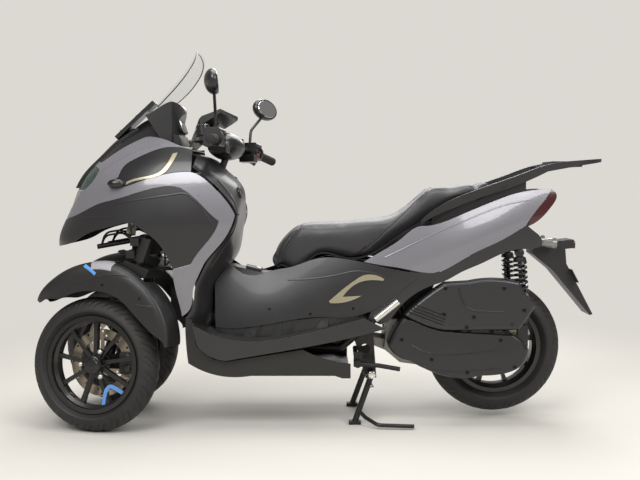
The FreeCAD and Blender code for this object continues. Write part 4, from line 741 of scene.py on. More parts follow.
@dataclass
class Wheel:
    """One wheel: a tyre with cut tread, a hub cap with three arms, bolts and a valve."""

    node: str
    body: str
    joint: str
    outer: int
    radius: float = 261.8
    half: float = 60.0
    crown: float = 61.0
    steered: bool = True
    pitches: int = 26
    steps_per_pitch: int = 16
    groove: float = 3.2
    bead_radius: float = 178.4
    lip_radius: float = 192.0
    taped: bool = False

    def build(self) -> None:
        """Make every piece of the wheel."""
        self._tyre().moved(self.place).piece(
            self.node.replace("tyre", "tread_tyre"), TYRE_RUBBER, self.body, "tyre", self.node)
        self._hub()
        if self.taped:
            self._tape()

    @property
    def place(self) -> Matrix:
        """The wheel's own frame: its axle is Y."""
        return joint_place(self.joint) @ (steer_turn() if self.steered else Matrix.Identity(4))

    def _profile(self) -> list[tuple[float, float, float]]:
        """Draw the tyre's outer section.

        Returns:
            Its points as (axial, radius, share across the crown), 2 and more on the walls.
        """
        lean = math.asin(min(self.half / self.crown, 1) * 0.94)
        centre = self.radius - self.crown
        bead = self.half - 22.0
        shoulder = (self.crown * math.sin(lean), centre + self.crown * math.cos(lean))
        middle = (self.half, (shoulder[1] + self.bead_radius) / 2 + 6)
        wall = smooth_line([(bead, self.bead_radius), (bead, self.lip_radius), middle, shoulder],
                           4.5)
        rings = [(p.x + (1.2 if 0.30 < i / len(wall) < 0.36 or 0.72 < i / len(wall) < 0.78
                         else 0.0), p.y, 2.0) for i, p in enumerate(wall)]
        count = 32
        steps = [lean * (1 - 2 * i / count) for i in range(1, count)]
        crown = [(self.crown * math.sin(t), centre + self.crown * math.cos(t), t / lean)
                 for t in steps]
        return rings + crown + [(-a, r, -s) for a, r, s in reversed(rings)]

    def _depth(self, turn: float, share: float) -> float:
        """How deep the tread is cut at one place.

        Args:
            turn: The angle round the wheel.
            share: The place across the crown, from -1 to 1.

        Returns:
            The depth in millimetres.
        """
        reach = abs(share)
        if reach > 0.97:
            return 0.0
        slant = turn * self.pitches / math.tau + (0.5 if share < 0 else 0.0) + reach * 0.9
        phase = slant % 1.0
        if 0.10 < reach < 0.86 and phase < 0.13:
            return self.groove
        if 0.52 < reach and 0.48 < phase < 0.58:
            return self.groove * 0.8
        return 0.0

    def _tyre(self) -> Form:
        """Build the tyre as a closed ring with grooves cut into its crown.

        Returns:
            The tyre, in the wheel's own frame.
        """
        profile = self._profile()
        inside = [(-self.half + 31, self.bead_radius), (-self.half + 12, 215.0),
                  (0.0, self.radius - 14), (self.half - 12, 215.0),
                  (self.half - 31, self.bead_radius)]
        rows = []
        for turn in turns(self.pitches * self.steps_per_pitch):
            row = []
            for axial, radius, share in profile:
                cut = self._depth(turn, share) / radius if abs(share) < 1.5 else 0.0
                reach = radius * (1 - cut)
                row.append(Vector((reach * math.sin(turn), axial * (1 - cut * 2),
                                   reach * math.cos(turn))))
            row += [Vector((r * math.sin(turn), a, r * math.cos(turn))) for a, r in inside]
            rows.append(row)
        return Form().sheet(rows, along=True)

    def _hub(self) -> None:
        """A domed cap and three arms with bright bolts on the outer side, and a valve."""
        side = self.outer
        face = self.place @ aimed((0, side * 34.3, 0), (0, side, 0))
        cap = Form().lathe(face, ((0, 33), (3, 33), (5, 30), (5, 24), (8, 21), (9, 12), (9, 8)))
        arms, bolts = Form(), Form()
        for turn in (62, 182, 302):
            t = math.radians(turn)
            out = Vector((math.cos(t), 0, math.sin(t)))
            foot = Vector((0, side * 14, 0))
            path = [foot + out * 26, foot + out * 40, foot + out * 56, foot + out * 66]
            arms.tube([self.place @ p for p in path], lambda s: 12 - 3 * s, 12)
            bolts.lathe(self.place @ aimed(foot + out * 56 + Vector((0, side * 6, 0)),
                                           (0, side, 0)),
                        ((0, 10), (6, 10), (10, 8), (12, 4)), 20)
        name = self.node.replace("tyre", "hub")
        cap.piece(name + "_cap", BLACK_WHEEL, self.body, "cast_wheel")
        arms.piece(name + "_arms", FRAME_STEEL, self.body, "cast_wheel")
        bolts.piece(name + "_bolts", BOLT_STEEL, self.body, "peg_metal")
        valve = Form().tube([self.place @ Vector((10, -side * 4, 172)),
                             self.place @ Vector((8, side * 6, 150)),
                             self.place @ Vector((6, side * 12, 138))],
                            lambda s: 4.5 - 1.5 * s, 10)
        valve.piece(name + "_valve", GRIP_RUBBER, self.body, "grip_rubber")

    def _tape(self) -> None:
        """Light blue tape laid in an arch from one spoke to the next."""
        form = Form()
        arch = smooth_line(((40, -160), (44, -128), (52, -98), (70, -84), (98, -96), (132, -114)), 5)
        rows = []
        for index, (x, z) in enumerate(arch):
            (ax, az), (bx, bz) = arch[max(index - 1, 0)], arch[min(index + 1, len(arch) - 1)]
            across = Vector((az - bz, 0, bx - ax)).normalized()
            rows.append([self.place @ (Vector((x, y, z)) + across * a)
                         for a, y in ((-7, -9), (-7, -15), (7, -15), (7, -9))])
        form.run(rows)
        form.piece("wheel_tape", BLUE_TAPE, self.body, "peg_metal")


@dataclass
class FrontLeg:
    """What turns with one front wheel: fender lines, caliper parts, stripes on the left."""

    letter: str
    side: int
    crease: Sequence[Flat] = ((-118, 276), (-49, 315), (34, 343), (116, 351), (176, 341),
                              (237, 297), (291, 223), (326, 130))
    low_line: Sequence[Flat] = ((200, 236), (232, 233), (263, 230))

    @property
    def place(self) -> Matrix:
        """The straight-ahead frame of the leg, with its origin on the axle."""
        return joint_place(f"front_wheel_{self.letter}_spin") @ steer_turn()

    @property
    def body(self) -> str:
        """The body that carries the leg."""
        return "leg_" + self.letter

    def build(self) -> None:
        """Make every piece of the leg."""
        skin = skin_of("fender_" + self.letter, place=self.place)
        view = View.LEFT if self.side < 0 else View.RIGHT
        ribs = Form()
        skin.strip(ribs, view, self.crease, 7.0, 1.6)
        skin.strip(ribs, view, self.low_line, 9.0, 1.4)
        ribs.piece("fender_ribs_" + self.letter, FENDER_PLASTIC, self.body, "fender_plastic")
        screws = Form()
        for place in skin.spots(view, (60, 312), (215, 262)):
            screw(screws, place, 4.5)
        screws.piece("fender_screws_" + self.letter, BLACK_SCREW, self.body, "dark_casting")
        self._caliper()
        if self.side < 0:
            self._stripes(skin, view)

    def _stripes(self, skin: Skin, view: View) -> None:
        """A light blue stripe and a pale patch over the crown of the fender.

        Args:
            skin: The fender's outside.
            view: The side view of this fender.
        """
        stripe = skin.strip(Form(), view, ((-22, 386), (6, 370), (30, 352)), 12.0, 0.7, 4.0)
        stripe.piece("fender_stripe", BLUE_TAPE, self.body, "fender_plastic")
        patch = Form()
        for row in range(6):
            y = -36.0 - 7.5 * row
            skin.strip(patch, View.TOP, ((-6 + 3 * row, y), (50, y), (104 - 2 * row, y)), 7.9, 0.9, 5.0)
        patch.piece("fender_patch", GREY_FILM, self.body, "fender_plastic")

    def _caliper(self) -> None:
        """Two piston caps and two bolts on the caliper."""
        metal, bolts = Form(), Form()
        inboard = -self.side
        for z in (-19, 24):
            at = self.place @ aimed((116, inboard * 68, z), (0, inboard, 0))
            metal.lathe(at, ((-2, 19), (5, 19), (7, 16), (7, 10), (5, 8)))
            outer = self.place @ aimed((116, inboard * 28, z), (0, -inboard, 0))
            metal.lathe(outer, ((-2, 17), (4, 17), (6, 14)))
        for z in (-34, 39):
            bolt(bolts, self.place @ aimed((134, inboard * 68, z), (0, inboard, 0)), 5, 6)
        metal.piece("caliper_caps_" + self.letter, CALIPER_METAL, self.body, "caliper_metal")
        bolts.piece("caliper_bolts_" + self.letter, BOLT_STEEL, self.body, "peg_metal")


@dataclass
class Nose:
    """The front covers: creases, lamps, signals, horn, grille and screen edge."""

    lens_top: float = 0.9390
    screen_levels: Sequence[tuple[float, float]] = ((1271, 118), (1345, 149), (1400, 150),
                                                    (1440, 138), (1470, 112), (1490, 72),
                                                    (1498, 36), (1500.5, 0))

    def build(self) -> None:
        """Make every piece of the nose."""
        self._lamps()
        self._signals()
        self._creases()
        self._screen()
        self._horn()
        self._grille()

    def _lamps(self) -> None:
        """Two covers on each side in one node: dark above, clear below, and what is in them."""
        data = frame["nodes"]["front_lamps"].data
        data.materials.append(LAMP_CLEAR.material())
        for polygon in data.polygons:
            polygon.material_index = 1 if polygon.center.z < self.lens_top else 0
        cups, rings = Form(), Form()
        for x, y, z, r in ((-968, -78, 966, 19), (-936, -98, 992, 15), (-1008, -62, 902, 17)):
            place = aimed((x + 16, y, z), (-1, -0.35, 0.1))
            cups.lathe(place, ((0, 4), (2, r * 0.6), (8, r * 0.9), (12, r), (11, r * 0.8),
                               (5, r * 0.5), (3, 3)), 24)
            rings.lathe(place, ((10, r + 0.5), (13, r + 0.5), (13, r + 2.5), (10, r + 2.5)), 24)
        cups.mirrored().piece("lamp_reflectors", CHROME, "root", "lamp_glass")
        rings.mirrored().piece("lamp_bezels", INNER_BLACK_AND_GAP_SHADE, "root", "dark_plastic")

    def _signals(self) -> None:
        """Smoked lens tips on the front pods."""
        place = aimed((-817, -207, 966), (-1, 0, 0))
        half_length, half_width = 34.6, 19.1
        rises = [math.radians(20 + 70 * i / 8) for i in range(9)]
        profile = [(half_length * math.sin(t), half_width * math.cos(t)) for t in rises]
        tip = Form().lathe(place, profile, 28)
        tip.mirrored().piece("front_signal_lenses", SMOKE_LENS, "root", "signal_lens")

    def _creases(self) -> None:
        """Raised lines along the covers, where the real mouldings fold."""
        skin = skin_of("lower_cowl")
        form = Form()
        fold = ((-900, 868), (-800, 893), (-700, 908), (-600, 922), (-545, 928), (-500, 905),
                (-462, 850), (-436, 806))
        skin.strip(form, View.LEFT, fold, 7.0, 1.8)
        skin.strip(form, View.LEFT, ((-1050, 842), (-985, 835), (-900, 834), (-830, 838)), 8, 2.2)
        form.mirrored().piece("lower_cowl_folds", DARK_PLASTIC, "root", "dark_plastic")
        skin = skin_of("upper_cowl")
        form = Form()
        skin.strip(form, View.LEFT, ((-905, 1006), (-850, 1046), (-790, 1080), (-720, 1108),
                                     (-660, 1118), (-600, 1112)), 5.0, 1.2)
        skin.strip(form, View.LEFT, ((-438, 836), (-474, 768), (-506, 700), (-520, 668)), 5, 1.4)
        form.mirrored().piece("upper_cowl_folds", GREY_LACQUER, "root", "grey_gloss")

    def _screen(self) -> None:
        """A black bead round the screen and four screws."""
        skin = skin_of("windscreen")
        edge = []
        for z, y in self.screen_levels:
            met = next((m for m in (skin.meet(*View.FRONT.line(y - inset, z - 1))
                                    for inset in (0.5, 3, 6, 10)) if m), None)
            if met is not None:
                edge.append(met[0] + Vector((1.5, 0, 0)))
        loop = edge + [Vector((p.x, -p.y, p.z)) for p in reversed(edge[:-1])]
        bead = Form().tube(smooth_line([tuple(p) for p in loop], 12), 2.2, 8)
        bead.piece("screen_bead", BLACK_PLASTIC, "root", "dark_plastic")
        screws = Form()
        for place in skin_of("screen_mount").spots(View.FRONT, (-30, 1180), (-30, 1240)):
            screw(screws, place, 6)
        screws.mirrored().piece("screen_screws", BLACK_SCREW, "root", "dark_casting")

    def _horn(self) -> None:
        """A cream horn on a bracket behind the lower cowl."""
        at = aimed((-792, -72, 778), (-1, -0.25, 0))
        form = Form().lathe(at, ((-22, 8), (-20, 22), (-4, 24), (2, 33), (8, 34), (10, 31),
                                 (10, 12), (14, 9), (15, 3)))
        form.piece("horn", HORN_PAINT, "root", "engine_metal")
        arm = Form().tube([Vector((-770, -68, 780)), Vector((-745, -52, 784)),
                           Vector((-716, -34, 776))], 6, 8)
        arm.piece("horn_bracket", FRAME_STEEL, "root", "dark_casting")

    def _grille(self) -> None:
        """Level bars across the mouth behind the lower cowl."""
        form = Form()
        for z in (640, 668, 696, 724, 752):
            reach = 118 - (752 - z) * 0.1
            form.tube([Vector((-640, -reach, z)), Vector((-652, 0, z)),
                       Vector((-640, reach, z))], 3.2, 8)
        for y in (-112, 0, 112):
            form.tube([Vector((-646, y, 636)), Vector((-646, y, 756))], 4.0, 8)
        form.piece("radiator_guard", INNER_BLACK_AND_GAP_SHADE, "root", "dark_plastic")


@dataclass
class Cockpit:
    """What turns with the bars, and the dash in front of the rider."""

    turn: Matrix = field(init=False)

    def __post_init__(self) -> None:
        """Work out how the bars are turned as the vehicle stands."""
        column = joint_place("steering")
        self.turn = column @ steer_turn() @ column.inverted()

    def build(self) -> None:
        """Make every piece of the cockpit."""
        self._keys()
        self._cables()
        self._grips()
        self._dash()

    def _keys(self) -> None:
        """Reservoir lids, keys on the switch boxes, and clamp screws."""
        lids, keys, red, screws, clamps = Form(), Form(), Form(), Form(), Form()
        for side in (-1, 1):
            top = Vector((-431.4, side * 206, 1172))
            lids.lathe(aimed(top, (-0.1, 0, 1)), ((-3, 25.6), (3, 25.6), (5, 23), (5, 4)), 24)
            for x, y in ((-15, -12), (15, -12), (-15, 12), (15, 12)):
                spot = top + Vector((x, y, 5 + x * 0.1))
                screws.lathe(aimed(spot, (-0.1, 0, 1)), ((0, 2.6), (1.4, 2.2)), 10)
            rider = (1, 0, 0.1)
            keys.button(aimed((-341, side * 208, 1140), rider), 9, 6, 6)
            keys.button(aimed((-341, side * 232, 1140), rider), 11, 7, 7)
            keys.button(aimed((-341, side * 220, 1118), rider), 14, 6, 8, 2.5)
            keys.button(aimed((-341, side * 248, 1112), rider), 7, 9, 6, 2.2)
            clamps.lathe(Matrix.Translation((-377, side * 204, 1124)),
                         ((-9, 33), (-7, 35), (7, 35), (9, 33)), 24)
            clamps.lathe(Matrix.Translation((-363, side * 251, 1120)),
                         ((-7, 33), (-5, 34), (5, 34), (7, 33)), 24)
        red.button(aimed((-341, 208, 1106), (1, 0, 0.1)), 9, 6, 7)
        lids.moved(self.turn).piece("reservoir_lids", BLACK_PLASTIC, "handlebar", "dark_plastic")
        keys.moved(self.turn).piece("switch_keys", INNER_BLACK_AND_GAP_SHADE, "handlebar", "dark_plastic")
        red.moved(self.turn).piece("engine_stop_key", RED_KEY, "handlebar", "dark_plastic")
        screws.moved(self.turn).piece("lid_screws", BOLT_STEEL, "handlebar", "peg_metal")
        clamps.moved(self.turn).piece("switch_clamps", FENDER_PLASTIC, "handlebar",
                                      "dark_plastic")

    def _cables(self) -> None:
        """Brake lines and looms from the levers into the bars' cover, held at both ends."""
        form = Form()
        for side in (-1, 1):
            routes = (((-428, side * 196, 1128), (-446, side * 170, 1126),
                       (-452, side * 138, 1124), (-440, side * 96, 1122)),
                      ((-404, side * 150, 1088), (-420, side * 128, 1090),
                       (-424, side * 106, 1100), (-420, side * 84, 1110)),
                      ((-440, side * 206, 1112), (-470, side * 186, 1124),
                       (-480, side * 150, 1142), (-470, side * 104, 1148)))
            for route in routes:
                form.tube(smooth_line(route, 6), 3.6, 8)
        form.moved(self.turn).piece("bar_cables", GRIP_RUBBER, "handlebar", "grip_rubber")

    def _grips(self) -> None:
        """Ribbed sleeves over the grips and turned end weights."""
        sleeves, ends = Form(), Form()
        for side in (-1, 1):
            a, b = Vector((-330, side * 385, 1098)), Vector((-372, side * 210, 1122))
            place = aimed(a, b - a)
            profile = [(-6, 12.4)]
            for i in range(16):
                at = -4 + i * 7.4
                profile += [(at, 17.2), (at + 1.2, 18.1), (at + 4.6, 18.1), (at + 5.8, 17.2)]
            profile += [(112, 17.2), (113, 21), (116, 21), (117, 14)]
            sleeves.lathe(place, profile, 28)
            ends.lathe(aimed(a, a - b), ((-2.5, 11), (-0.5, 15), (3.5, 15.5), (5.5, 13)), 24)
        sleeves.moved(self.turn).piece("grip_sleeves", GRIP_RUBBER, "handlebar", "grip_rubber",
                                       "grips")
        ends.moved(self.turn).piece("bar_ends", BLACK_WHEEL, "handlebar", "peg_metal")

    def _dash(self) -> None:
        """A display in the rider's face of the dash, and the key lock below."""
        skin = skin_of("dash_shroud")
        bezel, glass = Form(), Form()
        for spot in skin.spots(View.REAR, (0, 1205)):
            place = aimed(spot @ Vector((0, -3, 0)), (0.94, 0, 0.34))
            bezel.button(place, 82, 40, 9, 5)
            glass.button(place, 74, 33, 10.5, 5)
        bezel.piece("display_bezel", INNER_BLACK_AND_GAP_SHADE, "root", "dark_plastic")
        glass.piece("display_glass", DISPLAY_GLASS, "root", "lamp_glass")
        lock, ring = Form(), Form()
        for place in skin_of("leg_shield").spots(View.REAR, (-120, 930)):
            ring.lathe(place, ((-1, 24), (4, 24), (6, 20), (6, 14), (3, 13)))
            lock.button(place @ Matrix.Translation((0, 2, 0)), 3, 8, 3, 2)
        ring.piece("lock_ring", BLACK_PLASTIC, "root", "dark_plastic")
        lock.piece("lock_slot", BOLT_STEEL, "root", "peg_metal")


@dataclass
class Middle:
    """Leg shield lines, foot mats, fuel lid details and the glove box."""

    mat_rows: int = 5

    def build(self) -> None:
        """Make every piece between the front and the seat."""
        self._mats()
        self._shield()
        self._sides()
        self._fuel()

    def _mats(self) -> None:
        """Rubber ribs along both floorboards."""
        skin = skin_of("floorboards")
        form = Form()
        for i in range(self.mat_rows):
            y = -(146 + i * 22)
            skin.strip(form, View.TOP, ((-372, y), (-260, y), (-120, y), (10, y)), 13.0, 2.6, 14)
        form.mirrored().piece("foot_mats", GRIP_RUBBER, "root", "grip_rubber")

    def _shield(self) -> None:
        """A black strip of painted shade along the glove box door's gap, and the folds of the leg
        shield.
        """
        skin = skin_of("leg_shield")
        form = Form()
        # The gap is not cut: its shade is painted as a thin black strip round the door.
        door = ((60, 900), (60, 1010), (190, 1000), (205, 900), (60, 900))
        for a, b in zip(door, door[1:]):
            skin.strip(form, View.REAR, (a, b), 3.0, 0.6, 6)
        form.piece("glove_box_gap_painted_shade", INNER_BLACK_AND_GAP_SHADE, "root", "dark_plastic")
        folds = Form()
        skin.strip(folds, View.REAR, ((-232, 640), (-236, 760), (-232, 880), (-216, 980)), 8, 2.5)
        folds.mirrored().piece("leg_shield_folds", DARK_PLASTIC, "root", "dark_plastic")
        latch = Form()
        for place in skin.spots(View.REAR, (130, 988)):
            latch.button(place, 18, 7, 6, 3)
        latch.piece("glove_box_latch", BLACK_PLASTIC, "root", "dark_plastic")

    def _sides(self) -> None:
        """Folds and screws on the side covers and the side panels behind them."""
        skin = skin_of("side_covers", "under_tail")
        form = Form()
        skin.strip(form, View.LEFT, ((236, 600), (180, 618), (110, 622), (40, 606), (-60, 590),
                                     (-150, 584)), 6, 1.4)
        form.mirrored().piece("side_cover_folds", DARK_PLASTIC, "root", "dark_plastic")
        screws = Form()
        for place in skin.spots(View.LEFT, (-222, 470), (-60, 455), (108, 478)):
            screw(screws, place, 5)
        screws.mirrored().piece("side_cover_screws", BLACK_SCREW, "root", "dark_casting")

    def _fuel(self) -> None:
        """A lock on the fuel lid."""
        form = Form()
        for place in skin_of("fuel_lid").spots(View.TOP, (-276, 0)):
            form.lathe(place, ((-1, 11), (2, 11), (3, 9), (3, 5), (1, 4)))
        form.piece("fuel_lid_lock", BOLT_STEEL, "fuel_lid", "peg_metal")


@dataclass
class Seat:
    """The stepped seat: foam under vinyl, inflated by cloth, with seams and stitches."""

    voxel_mm: float = 7.0
    shrink_mm: float = 4.0
    cap_mm: float = 8.0
    frames: int = 20
    seam_mm: float = 2.6
    seam_half_mm: float = 6.0
    rear_seam: tuple[float, float, float] = (207.0, 751.0, 0.904)
    nose_seam: tuple[float, float, float] = (-142.0, 740.0, 1.468)
    # The share of the seat's width that is painted lighter as its lit top.
    lit_top_share: float = 0.78

    def build(self) -> None:
        """Make the cushion, its panels and its seams."""
        pad = self._pad()
        self._sew(pad)
        self._panels(pad)
        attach(pad, "seat")
        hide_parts("seat_cushion")
        LOG.info("built seat_pad with %d faces", len(pad.data.polygons))
        self._seams(pad)

    def _taken(self, pad: bpy.types.Object) -> None:
        """Replace the piece's mesh by what its modifiers make of it.

        Args:
            pad: The piece, which loses its modifiers.
        """
        graph = bpy.context.evaluated_depsgraph_get()
        made = bpy.data.meshes.new_from_object(pad.evaluated_get(graph))
        pad.modifiers.clear()
        pad.data = made

    def _pad(self) -> bpy.types.Object:
        """Make a remeshed copy of the cushion, blown up a little and capped.

        Returns:
            The new piece, with a plain mesh.
        """
        pad = frame["nodes"]["seat_cushion"].copy()
        pad.data = frame["nodes"]["seat_cushion"].data.copy()
        pad.name = "seat_pad"
        for key in list(pad.keys()):
            del pad[key]
        pad.parent = None
        bpy.context.scene.collection.objects.link(pad)
        remesh = pad.modifiers.new("remesh", "REMESH")
        remesh.mode = "VOXEL"
        remesh.voxel_size = self.voxel_mm * MM
        smooth = pad.modifiers.new("smooth", "SMOOTH")
        smooth.iterations = 6
        self._taken(pad)
        self._push(pad, lambda point: -self.shrink_mm)
        start = [v.co.copy() for v in pad.data.vertices]
        cloth = pad.modifiers.new("cloth", "CLOTH")
        cloth.settings.quality = 4
        cloth.settings.use_pressure = True
        cloth.settings.uniform_pressure_force = 4.0
        cloth.settings.effector_weights.gravity = 0.0
        scene = bpy.context.scene
        for number in range(1, self.frames + 1):
            scene.frame_set(number)
        self._taken(pad)
        scene.frame_set(1)
        limit = self.cap_mm * MM
        for vertex, before in zip(pad.data.vertices, start):
            way = vertex.co - before
            if way.length > limit:
                vertex.co = before + way * (limit / way.length)
        return pad

    def _line(self, seam: tuple[float, float, float], x: float, z: float) -> float:
        """How far a point lies behind a slanted seam, in millimetres."""
        foot_x, foot_z, slope = seam
        return ((x - foot_x) * slope - (z - foot_z)) / math.hypot(slope, 1.0)

    def _sew(self, pad: bpy.types.Object) -> None:
        """Refine the mesh once, then draw the cover in along its seams.

        Args:
            pad: The seat's piece.
        """
        fine = pad.modifiers.new("fine", "SUBSURF")
        fine.levels = 1
        self._taken(pad)
        self._push(pad, self._draw_in)

    def _draw_in(self, point: Vector) -> float:
        """How far the seams move a point of the cover.

        Args:
            point: The point, in millimetres.

        Returns:
            The move along the normal, in millimetres.
        """
        return -sum(self.seam_mm * math.exp(-(self._line(seam, point.x, point.z)
                                              / self.seam_half_mm) ** 2)
                    for seam in (self.rear_seam, self.nose_seam))

    def _push(self, pad: bpy.types.Object, reach: Callable[[Vector], float]) -> None:
        """Move every point along its normal, all normals being read before any point moves.

        Args:
            pad: The piece.
            reach: How far a point given in millimetres moves.
        """
        vertices = pad.data.vertices
        moves = [v.normal * reach(v.co / MM) * MM for v in vertices]
        for vertex, move in zip(vertices, moves):
            vertex.co += move

    def _panels(self, pad: bpy.types.Object) -> None:
        """Give the pillion its own vinyl; paint the top lighter as lit and the sides darker as painted
        shade.

        Args:
            pad: The seat's piece.
        """
        data = pad.data
        data.materials.clear()
        for finish in (SEAT_LIT_TOP, SEAT_SHADED_SIDE, SEAT_REAR):
            data.materials.append(finish.material())
        data.polygons.foreach_set("use_smooth", [True] * len(data.polygons))
        widths: dict[int, float] = {}
        for vertex in data.vertices:
            key = round(vertex.co.x / MM / 20)
            widths[key] = max(widths.get(key, 0.0), abs(vertex.co.y / MM))
        # Upward faces near the middle get the lighter top (painted light); the rest of the sides get
        # painted shade.
        for polygon in data.polygons:
            x, y, z = polygon.center / MM
            half = widths.get(round(x / 20), 100.0)
            if self._line(self.rear_seam, x, z) > 0:
                polygon.material_index = 2
            elif abs(y) < half * self.lit_top_share and polygon.normal.z > 0.25 \
                    and self._line(self.nose_seam, x, z) > 0:
                polygon.material_index = 0
            else:
                polygon.material_index = 1

    def _seams(self, pad: bpy.types.Object) -> None:
        """Piping and double rows of stitches over both slanted seams.

        Args:
            pad: The seat's piece.
        """
        skin = Skin([pad])
        piping, thread = Form(), Form()
        for seam, middle in ((self.rear_seam, -110.0), (self.nose_seam, -60.0)):
            for shift, kind in ((0.0, "pipe"), (-6.0, "stitch"), (6.0, "stitch")):
                path = self._round(skin, seam, shift, middle)
                if kind == "pipe":
                    piping.tube(path, 1.7, 8)
                else:
                    self._stitch(thread, path)
        piping.piece("seat_piping", SEAT_REAR, "seat", "seat_cover")
        thread.piece("seat_stitches", THREAD, "seat", "seat_cover")

    def _round(self, skin: Skin, seam: tuple[float, float, float], shift: float,
               middle: float) -> list[Vector]:
        """The line in which a slanted plane meets the cushion's top and sides.

        Args:
            skin: The cushion's outside.
            seam: The plane's foot and slope.
            shift: How far behind the seam the line runs.
            middle: How far below the seam's point the lines start.

        Returns:
            The line, from the left side over the top to the right side.
        """
        x, z, slope = seam
        length = math.hypot(slope, 1.0)
        along = Vector((1 / length, 0, slope / length))
        behind = Vector((slope / length, 0, -1 / length))
        start = Vector((x, 0, z)) + along * (middle * 0.2) + behind * shift
        path = []
        for i in range(91):
            turn = math.radians(-12 + 204 * i / 90)
            way = Vector((0, -math.cos(turn), 0)) + along * math.sin(turn)
            met = skin.meet(start, way)
            if met is not None:
                path.append(met[0] + way * 0.4)
        return path

    def _stitch(self, form: Form, path: Sequence[Vector], pitch: int = 3) -> None:
        """Lay short stitches along a line.

        Args:
            form: The form that takes them.
            path: The line.
            pitch: One stitch is laid at every so many of its points.
        """
        line = smooth_line([tuple(p) for p in path], 2.4)
        for i in range(0, len(line) - 2, pitch):
            form.tube([line[i], line[i + 1], line[i + 2]], 0.75, 5)


